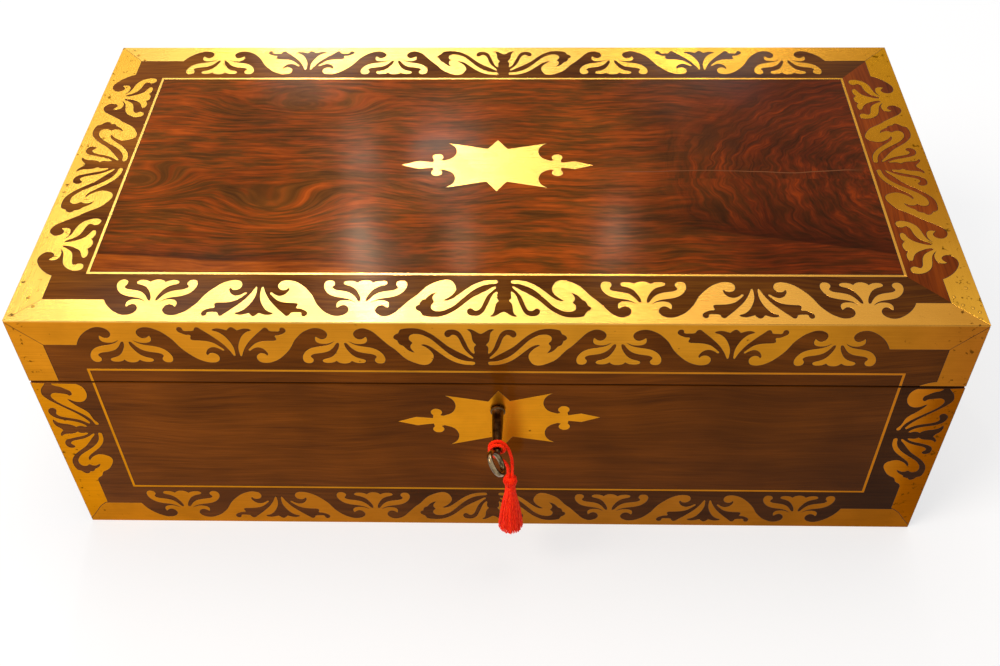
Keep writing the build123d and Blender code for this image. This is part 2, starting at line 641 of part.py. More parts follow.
# Lift-out pen tray with a round-bottomed trough and a notch round the lock
tray_play = 0.5
trough_radius = 22.0
trough_y = -86.0
trough_floor = 5.0
trough_end = 12.0
lock_clear = 1.0
tray_front = front_space + tray_play
tray_back = partition_front - tray_play
tray_outline = [(tray_front, tray_bottom), (tray_back, tray_bottom)]
tray_outline += [(y, parting(y) - FLAP_DROP) for y in (tray_back, tray_front)]
tray = prism(-TRAY_HALF, TRAY_HALF, tray_outline)
trough_z = tray_bottom + trough_floor + trough_radius
trough_half = TRAY_HALF - trough_end
tray -= rod(trough_radius, -trough_half, trough_half, trough_y, trough_z)
tray -= block(-trough_half, trough_half, trough_y - trough_radius, trough_y + trough_radius, trough_z,
              FRONT_PARTING)
notch_x = LOCK_HALF + lock_clear
tray -= block(-notch_x, notch_x, tray_front - 1, LOCK_BACK + lock_clear, tray_bottom - 1, FRONT_PARTING)
keep("pen_tray", tray)

# Two square glass inkwells with brass screw caps, standing in the end cells
ink_y = (front_space + partition_front) / 2
ink_x = (cell_start + inner_x) / 2
ink_side = 44.0
ink_height = 40.0
ink_base = 6.0
ink_bore = 15.0
corner_cut = 4.0
shoulder_cut = 3.0
neck_radius = 11.0
neck_bore = 8.0
neck_height = 5.0
cap_radius = 14.0
cap_height = 10.0
knob_radius = 9.0
knob_height = 2.0
bore_depth = ink_height - ink_base - 6.0
glass_top = INK_SHELF + ink_height
neck_top = glass_top + neck_height
for side, name in ((-1, "left"), (1, "right")):
    place = Pos(side * ink_x, ink_y, 0)
    body = Pos(0, 0, INK_SHELF + ink_height / 2) * Box(ink_side, ink_side, ink_height)
    body = chamfer(body.edges().filter_by(Axis.Z), corner_cut)
    body = chamfer(body.faces().sort_by(Axis.Z)[-1].edges(), shoulder_cut)
    body += Pos(0, 0, glass_top + neck_height / 2) * Cylinder(neck_radius, neck_height)
    body -= Pos(0, 0, INK_SHELF + ink_base + bore_depth / 2) * Cylinder(ink_bore, bore_depth)
    body -= Pos(0, 0, glass_top) * Cylinder(neck_bore, 2 * (neck_height + 1))
    keep(name + "_inkwell", place * body)
    cap = Pos(0, 0, neck_top + cap_height / 2) * Cylinder(cap_radius, cap_height)
    cap += Pos(0, 0, neck_top + cap_height + knob_height / 2) * Cylinder(knob_radius, knob_height)
    keep(name + "_inkwell_cap", place * cap)


# Writing flaps: a board with a leather panel let in, hinged to a rail beside the main hinge
rail_front = inner_y - HINGE_RAIL
flap_joint = 0.4
flap_back = rail_front - flap_joint
flap_axis_y = rail_front - flap_joint / 2
flap_leaf_depth = 9.0
flap_knuckle_clear = 0.3
flap_knuckle_play = 0.1
finger_notch = 9.0
ledge_short = 3.0


def writing_flap(name, side, flap_front, hinge_centres):
    """side is -1 under the parting plane (base) and 1 over it (lid)."""

    def layer(x0, x1, y0, y1, near, far):
        heights = sorted((side * near, side * far))
        return sloped(x0, x1, y0, y1, heights[0], heights[1])

    flap_x = inner_x - FLAP_GAP
    board_far = FLAP_DROP + FLAP_BOARD
    leaf_far = FLAP_DROP + FLAP_HINGE_LEAF
    board = layer(-flap_x, flap_x, flap_front, flap_back, FLAP_DROP, board_far)
    if side > 0:
        # The free edge of the lid's flap is square to the flap, so that it swings clear of the front board
        relief = FLAP_BOARD * slope
        low = parting(flap_front) + FLAP_DROP
        high = low + FLAP_BOARD
        outside = flap_front - 1
        wedge = [(flap_front, low), (flap_front + relief, high), (outside, high), (outside, low)]
        board -= prism(-half_x, half_x, wedge)
    leather = layer(-flap_x + FLAP_BORDER, flap_x - FLAP_BORDER, flap_front + FLAP_BORDER,
                    flap_back - FLAP_BORDER, FLAP_DROP, FLAP_DROP + LEATHER)
    rail = layer(-inner_x, inner_x, rail_front, inner_y, FLAP_DROP, board_far)
    ledge_far = board_far + LEDGE
    ledge_front = flap_front - FLAP_GAP
    ledge_back = flap_back - ledge_short
    ledges = [layer(-inner_x, -inner_x + LEDGE, ledge_front, ledge_back, board_far, ledge_far),
              layer(inner_x - LEDGE, inner_x, ledge_front, ledge_back, board_far, ledge_far)]
    axis_z = parting(flap_axis_y) + side * FLAP_DROP
    notch_z = parting(flap_front) + side * (board_far + FLAP_DROP) / 2
    notch = Pos(0, flap_front, notch_z) * Cylinder(finger_notch, 4 * FLAP_BOARD)
    clear = FLAP_HINGE_RADIUS + flap_knuckle_clear
    fixed = []
    moving = []
    for centre in hinge_centres:
        start = centre - FLAP_HINGE_LENGTH / 2
        end = centre + FLAP_HINGE_LENGTH / 2
        room = rod(clear, start - flap_knuckle_clear, end + flap_knuckle_clear, flap_axis_y, axis_z)
        leaf_front = flap_back - flap_leaf_depth
        leaf_back = rail_front + flap_leaf_depth
        fixed_leaf = layer(start, end, flap_axis_y + clear, leaf_back, FLAP_DROP, leaf_far)
        moving_leaf = layer(start, end, leaf_front, flap_axis_y - clear, FLAP_DROP, leaf_far)
        leaf_room = layer(start, end, leaf_front, leaf_back, FLAP_DROP, leaf_far)
        rail -= [room, leaf_room]
        board -= [room, leaf_room]
        third = FLAP_HINGE_LENGTH / 3
        mid0 = start + third + flap_knuckle_play
        mid1 = end - third - flap_knuckle_play
        for x0, x1 in ((start, start + third), (end - third, end)):
            strap = layer(x0, x1, flap_axis_y, flap_axis_y + clear + strap_lap, FLAP_DROP, leaf_far)
            fixed_leaf = fixed_leaf + rod(FLAP_HINGE_RADIUS, x0, x1, flap_axis_y, axis_z) + strap
        fixed_leaf += rod(FLAP_HINGE_PIN, start, end, flap_axis_y, axis_z)
        strap = layer(mid0, mid1, flap_axis_y - clear - strap_lap, flap_axis_y, FLAP_DROP, leaf_far)
        moving_leaf = moving_leaf + rod(FLAP_HINGE_RADIUS, mid0, mid1, flap_axis_y, axis_z) + strap
        moving_leaf -= rod(FLAP_HINGE_PIN + RUNNING_FIT, mid0, mid1, flap_axis_y, axis_z)
        fixed.append(fixed_leaf)
        moving.append(moving_leaf)
    keep(name + "_flap", board - leather - notch)
    keep(name + "_flap_leather", leather)
    keep(name + "_flap_ledges", rail, *ledges)
    keep(name + "_flap_hinge_leaves", *fixed)
    keep(name + "_flap_moving_leaves", *moving)
    return axis_z


base_axis_z = writing_flap("base", -1, partition_back + FLAP_GAP, BASE_FLAP_HINGES)
lid_axis_z = writing_flap("lid", 1, -inner_y + 2 * FLAP_GAP, LID_FLAP_HINGES)
print("flap axes", round(flap_axis_y, 3), round(base_axis_z, 3), round(lid_axis_z, 3))
print("main hinge axis", hinge_y, hinge_z)

keep("base_screws", *base_screws)
keep("lid_screws", *lid_screws)

os.makedirs("parts", exist_ok=True)
for name, solids in parts.items():
    shape = solids[0] if len(solids) == 1 else Compound(children=solids)
    export_step(shape, "parts/" + name + ".step")
print(len(parts), "nodes")
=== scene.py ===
import math
import random

import bmesh
import bpy
from mathutils import Matrix, Vector


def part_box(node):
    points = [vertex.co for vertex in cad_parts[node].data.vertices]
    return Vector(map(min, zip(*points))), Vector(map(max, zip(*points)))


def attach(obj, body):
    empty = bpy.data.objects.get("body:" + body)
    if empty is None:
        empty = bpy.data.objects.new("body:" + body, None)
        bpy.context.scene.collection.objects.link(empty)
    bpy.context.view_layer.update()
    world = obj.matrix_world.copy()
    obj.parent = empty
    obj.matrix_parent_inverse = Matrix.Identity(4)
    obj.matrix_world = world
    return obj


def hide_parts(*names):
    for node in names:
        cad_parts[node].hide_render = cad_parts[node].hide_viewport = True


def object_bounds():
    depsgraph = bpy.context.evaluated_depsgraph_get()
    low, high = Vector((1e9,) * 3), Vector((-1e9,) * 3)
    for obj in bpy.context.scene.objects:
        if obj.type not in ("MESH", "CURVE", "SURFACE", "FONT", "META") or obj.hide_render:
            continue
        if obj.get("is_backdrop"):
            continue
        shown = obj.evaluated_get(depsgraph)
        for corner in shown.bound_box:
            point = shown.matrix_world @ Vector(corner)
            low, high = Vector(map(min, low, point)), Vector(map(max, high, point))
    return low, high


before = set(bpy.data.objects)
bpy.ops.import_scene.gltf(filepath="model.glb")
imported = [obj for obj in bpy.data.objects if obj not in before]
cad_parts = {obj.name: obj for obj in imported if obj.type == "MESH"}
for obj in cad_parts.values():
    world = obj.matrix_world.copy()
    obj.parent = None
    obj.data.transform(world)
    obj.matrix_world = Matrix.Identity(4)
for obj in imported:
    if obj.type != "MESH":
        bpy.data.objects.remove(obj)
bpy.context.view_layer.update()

# Camera: the photograph's viewpoint, above and in front of the box, solved from the box's visible corners.
# It looks down at about 44 degrees with no shift.
scene = bpy.context.scene
scene.view_settings.view_transform = "Standard"
camera_data = bpy.data.cameras.new("camera")
camera_data.sensor_width = 36
camera_data.lens = 41.905
camera = bpy.data.objects.new("camera", camera_data)
camera.location = (0.017828, -0.548142, 0.603676)
camera.rotation_euler = [math.radians(angle) for angle in (44.0758, 0.7339, 1.1153)]
scene.collection.objects.link(camera)
scene.camera = camera

# Silk cord: one length of red cord, laid up from three strands, wound twice round the key's neck.
# Both of its ends go into the head of the tassel.
MM = 0.001
cord_route = [(10.3, -158.2, 86.4), (10.4, -158.0, 93.0), (10.4, -157.2, 99.0), (9.4, -156.2, 105.0),
              (7.4, -155.2, 110.2), (4.6, -154.8, 113.2), (2.2, -154.9, 113.7), (0.1, -155.1, 113.1),
              (-1.4, -155.3, 111.6), (-2.0, -155.5, 109.5), (-1.4, -155.7, 107.4), (0.1, -155.9, 105.9),
              (2.2, -156.1, 105.3), (4.3, -156.4, 105.9), (5.8, -156.7, 107.4), (6.4, -157.0, 109.5),
              (5.8, -157.2, 111.6), (4.3, -157.4, 113.1), (2.2, -157.5, 113.7), (0.1, -157.6, 113.1),
              (-1.4, -157.7, 111.6), (-2.0, -157.8, 109.5), (-1.5, -157.9, 107.2), (0.4, -158.0, 104.9),
              (3.4, -158.1, 102.8), (6.4, -158.2, 99.9), (8.0, -158.2, 96.0), (8.2, -158.2, 91.5),
              (8.2, -158.2, 86.4)]
cord_radius = 1.0 * MM
cord_strands = 3
strand_radius = 0.464 * MM
strand_turn = 4.5 * MM


def put(name, data):
    """Add an object at the origin."""
    made = bpy.data.objects.new(name, data)
    scene.collection.objects.link(made)
    return made


def belongs(piece, finish, body, slot, *nodes):
    """Give a piece its finish and the body that it rides on, and hide the nodes that it stands for. Its slot
    is not used.
    """
    piece.data.materials.append(finish)
    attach(piece, body)
    if nodes:
        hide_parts(*nodes)


def mesh_from(curve):
    """The mesh that a curve makes."""
    maker = bpy.data.objects.new(curve.name, curve)
    mesh = bpy.data.meshes.new_from_object(maker)
    bpy.data.objects.remove(maker)
    return mesh


def spline_through(curve, kind, line):
    """Add a spline through a line of points to a curve."""
    spline = curve.splines.new(kind)
    spline.points.add(len(line) - 1)
    for point, place in zip(spline.points, line):
        point.co = (*place, 1)
    return spline


def smooth_line(route):
    """Points along the NURBS line that has the route as its control points."""
    curve = bpy.data.curves.new("line", "CURVE")
    curve.dimensions = "3D"
    curve.resolution_u = 16
    spline = spline_through(curve, "NURBS", route)
    spline.order_u = 3
    spline.use_endpoint_u = True
    return [vertex.co.copy() for vertex in mesh_from(curve).vertices]


def threads(name, lines, radius, sides=6, closed=False):
    """One mesh of round threads that follow lines of points."""
    curve = bpy.data.curves.new(name, "CURVE")
    curve.dimensions = "3D"
    curve.bevel_depth = radius
    curve.bevel_resolution = sides // 2 - 2
    curve.use_fill_caps = True
    for line in lines:
        spline_through(curve, "POLY", line).use_cyclic_u = closed
    mesh = mesh_from(curve)
    mesh.shade_smooth()
    return mesh


def colour(code):
    """The linear colour of an sRGB hex value."""
    levels = [int(code[start:start + 2], 16) / 255 for start in (0, 2, 4)]
    return (*[level / 12.92 if level <= 0.04045 else ((level + 0.055) / 1.055) ** 2.4 for level in levels], 1)


def add(tree, kind, sockets=(), out=None, stops=(), **settings):
    """Add a shader node, set its sockets to values or links, and return one of its outputs, if it has any.
    Sockets are a list in the node's order, or are named. A string is the hex value of a colour."""
    made = tree.nodes.new("ShaderNode" + kind)
    for name, value in settings.items():
        setattr(made, name, value)
    for index, (position, code) in enumerate(stops):
        ramp = made.color_ramp.elements
        element = ramp[index] if index < 2 else ramp.new(position)
        element.position = position
        element.color = colour(code)
    inputs = {one.identifier: one for one in made.inputs}
    for name, value in sockets.items() if isinstance(sockets, dict) else zip(inputs, sockets):
        if isinstance(value, bpy.types.NodeSocket):
            tree.links.new(value, inputs[name])
        else:
            inputs[name].default_value = colour(value) if isinstance(value, str) else value
    return next((one for one in made.outputs if out in (None, one.identifier)), None)


def material(name):
    """An empty material, its node tree, and the place on the piece in metres."""
    made = bpy.data.materials.new(name)
    made.use_nodes = True
    made.node_tree.nodes.clear()
    return made, made.node_tree, add(made.node_tree, "TexCoord", out="Object")


def dyed_silk():
    """Red silk floss, spun and lightly twisted: a soft sheen, with the dye paler along single filaments."""
    made, tree, place = material("dyed_silk_floss")
    filament = 0.4 * MM
    long = add(tree, "Mapping", {"Vector": place, "Scale": (1 / filament, 1 / filament, 0.1 / filament)})
    streak = add(tree, "TexNoise", {"Vector": long, "Scale": 1.0, "Detail": 2.0})
    dye = add(tree, "ValToRGB", [streak], stops=[(0.3, "D81402"), (0.5, "FF2602"), (0.7, "FF4A10")])
    bump = add(tree, "Bump", {"Height": streak, "Strength": 0.3, "Distance": 0.1 * MM})
    floss = add(tree, "BsdfPrincipled", {"Base Color": dye, "Roughness": 0.55, "Specular IOR Level": 0.1,
                                         "Sheen Weight": 0.06, "Sheen Tint": "FF6030", "Sheen Roughness": 0.4,
                                         "Normal": bump})
    add(tree, "OutputMaterial", [floss])
    return made


def cord_strand(points, phase):
    """The line of one strand, wound round the cord's own line."""
    line = []
    travelled = 0.0
    side = Vector((1, 0, 0))
    for index, here in enumerate(points):
        ahead = points[min(index + 1, len(points) - 1)] - points[max(index - 1, 0)]
        ahead.normalize()
        side = (side - ahead * side.dot(ahead)).normalized()
        if index:
            travelled += (here - points[index - 1]).length
        angle = phase + math.tau * travelled / strand_turn
        offset = side * math.cos(angle) + ahead.cross(side) * math.sin(angle)
        line.append(here + offset * (cord_radius - strand_radius))
    return line


silk = dyed_silk()
cord_line = smooth_line([Vector(point) * MM for point in cord_route])
strand_lines = [cord_strand(cord_line, math.tau * number / cord_strands) for number in range(cord_strands)]
key_cord = put("silk_cord", threads("silk_cord", strand_lines, strand_radius, 8))
belongs(key_cord, silk, "tassel", "silk", "key_cord")

# Tassel: a hank of red silk floss, folded over a small wooden ball and bound below it with the same silk.
# The skirt hangs to one even cut. It is a solid core with loose threads laid over it.
tassel_x = 9.2 * MM
tassel_y = -158.0 * MM
head_profile = [(0.4, 86.4), (2.4, 86.2), (3.5, 84.9), (3.8, 83.3), (3.5, 81.6), (2.7, 79.6)]
head_threads = 44
skirt_profile = [(2.6, 77.2), (2.8, 75.0), (3.2, 71.0), (4.4, 64.0), (5.6, 55.5), (6.5, 47.0), (7.0, 41.5)]
skirt_layers = [(0.0, 96), (-0.7, 80), (-2.2, 50)]
core_inset = 0.5
core_end = (6.1, 43.0)
binding_radius = 2.75
binding_turns = 5
binding_steps = 16
binding_low = 76.8
binding_high = 79.4
floss_radius = 0.24 * MM


def lathe(profile, centre, axis, steps=32):
    """A closed turned shape: profile points are (radius, place along the axis), in mm, from end to end."""
    work = bmesh.new()
    along = Vector(axis)
    across = Vector((0, 0, 1)) if abs(along.z) < 0.5 else Vector((1, 0, 0))
    points = [work.verts.new(Vector(centre) + (across * radius + along * place) * MM)
              for radius, place in profile]
    edges = [work.edges.new(pair) for pair in zip(points, points[1:])]
    bmesh.ops.spin(work, geom=points + edges, cent=centre, axis=axis, angle=math.tau, steps=steps,
                   use_merge=True)
    bmesh.ops.remove_doubles(work, verts=work.verts, dist=0.001 * MM)
    bmesh.ops.recalc_face_normals(work, faces=work.faces)
    return work


def mesh_of(name, work, sharp=35):
    """Turn a bmesh into a mesh, smooth except at corners of more degrees than sharp. At 0 it stays flat."""
    mesh = bpy.data.meshes.new(name)
    work.to_mesh(mesh)
    work.free()
    if sharp:
        mesh.shade_smooth()
        mesh.set_sharp_from_angle(angle=math.radians(sharp))
    return mesh


def round_tassel(radius, angle, height):
    """A point at an angle round the tassel's axis, from millimetres."""
    reach = radius * MM
    return Vector((tassel_x + reach * math.cos(angle), tassel_y + reach * math.sin(angle), height * MM))


def floss(profile, turn, wander, chance):
    """One thread down the tassel's outside, at an angle round its axis, with a slight wave."""
    lean = chance.uniform(-wander, wander)
    line = []
    for step, (radius, height) in enumerate(profile):
        angle = turn + lean * step / len(profile) + chance.uniform(-0.3, 0.3) * wander
        line.append(round_tassel(radius + chance.uniform(-0.25, 0.1), angle, height))
    return line


chance = random.Random(7)
core_profile = [(0, 86.2)] + [(max(radius - core_inset, 0.2), height) for radius, height in head_profile[1:]]
core_profile += [(radius - core_inset, height) for radius, height in skirt_profile[:-1]]
core_profile += [core_end, (0, core_end[1])]
core = put("tassel_core", mesh_of("tassel_core", lathe(core_profile, (tassel_x, tassel_y, 0), (0, 0, 1))))
lines = [floss(head_profile, math.tau * number / head_threads, 0.1, chance) for number in range(head_threads)]
for layer, count in skirt_layers:
    profile = [(max(radius + layer * index / 6, 0.3), height)
               for index, (radius, height) in enumerate(skirt_profile)]
    lines += [floss(profile, math.tau * number / count + chance.uniform(-0.04, 0.04), 0.22, chance)
              for number in range(count)]
binding_rise = (binding_high - binding_low) / (binding_turns * binding_steps)
lines.append([round_tassel(binding_radius, math.tau * step / binding_steps, binding_low + binding_rise * step)
              for step in range(binding_turns * binding_steps + 1)])
tassel = put("tassel_floss", threads("tassel_floss", lines, floss_radius, 4))
for piece in (core, tassel):
    belongs(piece, silk, "tassel", "silk", "tassel")

# Studio: a plain white floor that keeps a soft shadow near the box, a white surround, one large soft lamp at
# the front left, and lamps behind the box that lie on the polished top as soft upright streaks and as glare.
floor_half = 6.0
lamps_y = 1.95
lamps_aim_z = 0.18
lamp_tint = "FFF1E0"


def seen(tree):
    """1 for rays from the camera, from a mirror or through glass, and 0 for the others."""
    path = add(tree, "LightPath").node.outputs
    either = add(tree, "Math", [path["Is Camera Ray"], path["Is Glossy Ray"]], operation="MAXIMUM")
    return add(tree, "Math", [either, path["Is Transmission Ray"]], operation="MAXIMUM")


work = bmesh.new()
bmesh.ops.create_grid(work, x_segments=1, y_segments=1, size=floor_half)
floor = put("floor", mesh_of("floor", work, sharp=0))
floor_paint, tree, place = material("matt_white_paper")
# Far from the box the floor turns to plain white
far = add(tree, "VectorMath", [place], out="Value", operation="LENGTH")
far = add(tree, "MapRange", [far, 0.5, 2.0, 0.6, 1.0])
share = add(tree, "Math", [seen(tree), far], operation="MULTIPLY")
paper = add(tree, "BsdfDiffuse", ["EEF3FB"])
white = add(tree, "Emission", ["FFFFFF", 1.0])
add(tree, "OutputMaterial", [add(tree, "MixShader", [share, paper, white])])
floor.data.materials.append(floor_paint)
floor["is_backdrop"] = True

world = bpy.data.worlds.new("white_surround")
scene.world = world
world.use_nodes = True
tree = world.node_tree
tree.nodes.clear()
strength = add(tree, "MapRange", [seen(tree), 0.0, 1.0, 0.45, 1.0])
add(tree, "OutputWorld", [add(tree, "Background", ["FFFFFF", strength])])


def lamp(name, place, target, width, height, power, tint="FFFFFF"):
    """A soft oval lamp that faces a point."""
    data = bpy.data.lights.new(name, "AREA")
    data.shape = "ELLIPSE"
    data.size = width
    data.size_y = height
    data.energy = power
    data.color = colour(tint)[:3]
    made = put(name, data)
    made.location = place
    made.rotation_euler = (Vector(target) - Vector(place)).to_track_quat("-Z", "Y").to_euler()


lamp("soft_lamp", (-1.3, -0.9, 1.7), (0, 0, 0.1), 1.2, 1.2, 34, lamp_tint)
lamp("top_lamp", (0.3, 0.4, 2.2), (0, 0, 0.1), 1.4, 1.0, 16, lamp_tint)
streaks = [("far", -0.43, 1.67, 0.08, 0.16, 0.8), ("near", -0.455, 2.0, 0.06, 0.2, 3.2),
           ("middle", -0.17, 1.99, 0.04, 0.2, 1.1), ("right", 0.265, 1.96, 0.05, 0.2, 1.4)]
for name, x, z, width, height, power in streaks:
    lamp("streak_lamp_" + name, (x, lamps_y, z), (x * 0.2, 0, lamps_aim_z), width, height, power, lamp_tint)
glares = [("front", -0.47, 2.26, -0.07, -0.11, 0.32, 0.16, 2.75),
          ("left", -1.08, 2.26, -0.16, -0.11, 0.6, 0.16, 3.4),
          ("back", -0.5, 1.3, -0.12, 0.12, 0.3, 0.09, 1.9),
          ("back_right", 0.44, 1.31, 0.1, 0.12, 0.36, 0.09, 1.1),
          ("middle", -0.2, 1.66, -0.02, 0.0, 0.18, 0.12, 1.5)]
for name, x, z, aim_x, aim_y, width, height, power in glares:
    lamp("glare_lamp_" + name, (x, lamps_y, z), (aim_x, aim_y, lamps_aim_z), width, height, power)

# Rosewood veneers: thin sheets of dark, streaky rosewood glued over the carcass and French polished.
# The top and the front are leaves with crossbandings of other leaves round them, mitred at the corners. Each
# sheet stops just inside the brass edges and lies a hair below the brass.
border_low, border_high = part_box("lid_top_border_front")
half_x, half_y, top_z = border_high.x, -border_low.y, border_high.z
veneer = 1.0 * MM
wood_thickness = veneer - 0.1 * MM
edge_cover = 1.0 * MM
string_x = 219.0 * MM
string_y = 92.5 * MM
lid_string_z = 140.5 * MM
base_string_z = 36.0 * MM
parting_front = 130.5 * MM
parting_half_gap = 0.75 * MM
lid_cut = parting_front + parting_half_gap
base_cut = parting_front - parting_half_gap
keyhole_x = 2.2 * MM
keyhole_z = 109.5 * MM
keyhole_radius = 3.6 * MM
keyhole_slot = 1.7 * MM
keyhole_drop = 9.8 * MM
ON_TOP = Matrix.Translation((0, 0, top_z - veneer))
ON_FRONT = Matrix.Translation((0, -half_y + veneer, 0)) @ Matrix.Rotation(math.radians(90), 4, "X")
SHARP = "VECTOR"


def drawn(name, dimensions, outlines):
    """A curve through closed outlines of (x, y) or (x, y, SHARP) points, in metres."""
    curve = bpy.data.curves.new(name, "CURVE")
    curve.dimensions = dimensions
    curve.resolution_u = 5
    for outline in outlines:
        spline = curve.splines.new("BEZIER")
        spline.bezier_points.add(len(outline) - 1)
        spline.use_cyclic_u = True
        for point, (x, y, *kind) in zip(spline.bezier_points, outline):
            point.co = (x, y, 0)
            point.handle_left_type = point.handle_right_type = kind[0] if kind else "AUTO"
    return curve


def plate(name, pieces, thickness, face, low=0.0, edge=0.0):
    """Flat pieces cut from one sheet and laid on a face. A piece is its outline and then any hole in it."""
    joined = bmesh.new()
    for outlines in pieces:
        curve = drawn(name, "2D", outlines)
        curve.fill_mode = "BOTH"
        curve.extrude = (thickness - 2 * edge) / 2
        curve.bevel_depth = edge
        curve.bevel_resolution = 0
        curve.offset = -edge
        cut = mesh_from(curve)
        work = bmesh.new()
        work.from_mesh(cut)
        bmesh.ops.remove_doubles(work, verts=work.verts, dist=0.001 * MM)
        bmesh.ops.recalc_face_normals(work, faces=work.faces)
        work.to_mesh(cut)
        work.free()
        joined.from_mesh(cut)
        bpy.data.meshes.remove(cut)
    mesh = mesh_of(name, joined, 30)
    mesh.transform(face @ Matrix.Translation((0, 0, low + thickness / 2)))
    return put(name, mesh)


def cornered(corners):
    """An outline whose corners are all sharp."""
    return [(*corner, SHARP) for corner in corners]


def rectangle(x0, y0, x1, y1):
    return cornered([(x0, y0), (x1, y0), (x1, y1), (x0, y1)])


def keyhole():
    """Round hole with a slot below it."""
    left, right = keyhole_x - keyhole_slot, keyhole_x + keyhole_slot
    shoulder = math.sqrt(keyhole_radius ** 2 - keyhole_slot ** 2)
    hole = cornered([(left, keyhole_z - keyhole_drop), (right, keyhole_z - keyhole_drop),
                     (right, keyhole_z - shoulder)])
    start = -math.acos(shoulder / keyhole_radius)
    steps = 12
    for step in range(1, steps):
        angle = math.pi + start - (math.tau + 2 * start) * step / steps
        across, up = math.sin(angle), math.cos(angle)
        hole.append((keyhole_x + keyhole_radius * across, keyhole_z + keyhole_radius * up))
    return hole + [(left, keyhole_z - shoulder, SHARP)]


def fibres(tree, run, across, sizes):
    """One figure, about 0 to 1, from fibres of several sizes along the grain. A size is its length and width
    in mm, and its share."""
    figure = 0.0
    for length, width, share in sizes:
        long = add(tree, "Math", [run, 1 / (length * MM)], operation="MULTIPLY")
        wide = add(tree, "Math", [across, 1 / (width * MM)], operation="MULTIPLY")
        laid = add(tree, "CombineXYZ", [long, wide, share])
        fibre = add(tree, "TexNoise", {"Vector": laid, "Scale": 1.0, "Detail": 2.0, "Roughness": 0.55})
        figure = add(tree, "Math", [fibre, share, figure], operation="MULTIPLY_ADD")
    return figure


def spread(codes, reach):
    """Stops that spread colours, dark to pale, over the middle of a figure."""
    step = 2 * reach / (len(codes) - 1)
    return [(0.5 - reach + step * index, code) for index, code in enumerate(codes)]


def shaded(tree, tone, level):
    """A colour times a level."""
    grey = add(tree, "CombineColor", [level] * 3)
    return add(tree, "Mix", {"Factor_Float": 1.0, "A_Color": tone, "B_Color": grey}, out="Result_Color",
               data_type="RGBA", blend_type="MULTIPLY")


def patches(tree, place):
    """A level that clouds a leaf with broad, soft patches."""
    cloud = add(tree, "TexNoise", {"Vector": place, "Scale": 1 / (60 * MM), "Detail": 2.0})
    return add(tree, "MapRange", [cloud, 0.35, 0.65, 0.8, 1.18])


def french_polish(tree, place, tone, figure):
    """Shellac rubbed up by hand: a clear gloss with slight smears, and a warm, weak reflection."""
    smear = add(tree, "TexNoise", {"Vector": place, "Scale": 1 / (35 * MM), "Detail": 3.0})
    gloss = add(tree, "MapRange", [smear, 0.35, 0.7, 0.11, 0.16])
    bump = add(tree, "Bump", {"Height": figure, "Strength": 0.06, "Distance": 0.05 * MM})
    polished = add(tree, "BsdfPrincipled", {"Base Color": tone, "Roughness": gloss, "IOR": 1.5,
                                            "Specular IOR Level": 0.035, "Specular Tint": "FFD0A0",
                                            "Normal": bump})
    add(tree, "OutputMaterial", [polished])


def rosewood(name, tones, along, painted_falloff=(1.0, 1.0)):
    """Plain rosewood veneer, French polished: red-brown with fine dark fibres along X (0) or Y (1). The last
    argument is the leaf's level at its left and at its right end: painted light, brighter at the left and
    falling off to painted shade at the right."""
    made, tree, place = material("french_polished_rosewood_" + name)
    parts = add(tree, "SeparateXYZ", [place]).node.outputs
    sway = add(tree, "TexNoise", {"Vector": place, "Scale": 1 / (110 * MM), "Detail": 1.0})
    across = add(tree, "Math", [parts[1 - along], parts[2]], operation="ADD")
    across = add(tree, "Math", [sway, 24 * MM, across], operation="MULTIPLY_ADD")
    figure = fibres(tree, parts[along], across, ((22, 0.8, 0.3), (60, 2.6, 0.3), (150, 16, 0.4)))
    tone = add(tree, "ValToRGB", [figure], stops=spread(tones, 0.17))
    # Painted light: the leaf is brighter at its left end and falls off to painted shade at its right end
    level = add(tree, "MapRange", [parts[0], -half_x, half_x, *painted_falloff])
    tone = shaded(tree, shaded(tree, tone, level), patches(tree, place))
    french_polish(tree, place, tone, figure)
    return made


# Figure of the top's leaf, in mm from its middle: eyes are (x, y, reach, rise), lines are (height, slope)
eyes = [(-212, -18, 26, 24), (-124, -40, 30, 18), (-147, 60, 26, 14), (-106, 57, 24, 20), (-30, -25, 22, 8)]
knot_x = 245
knot_y = -10
knot_reach = 150
figure_lines = {"pale": (-88.0, -0.049), "dark": (-28.4, -0.216)}
crack_y = -3.0
crack_from = 65
crack_to = 216


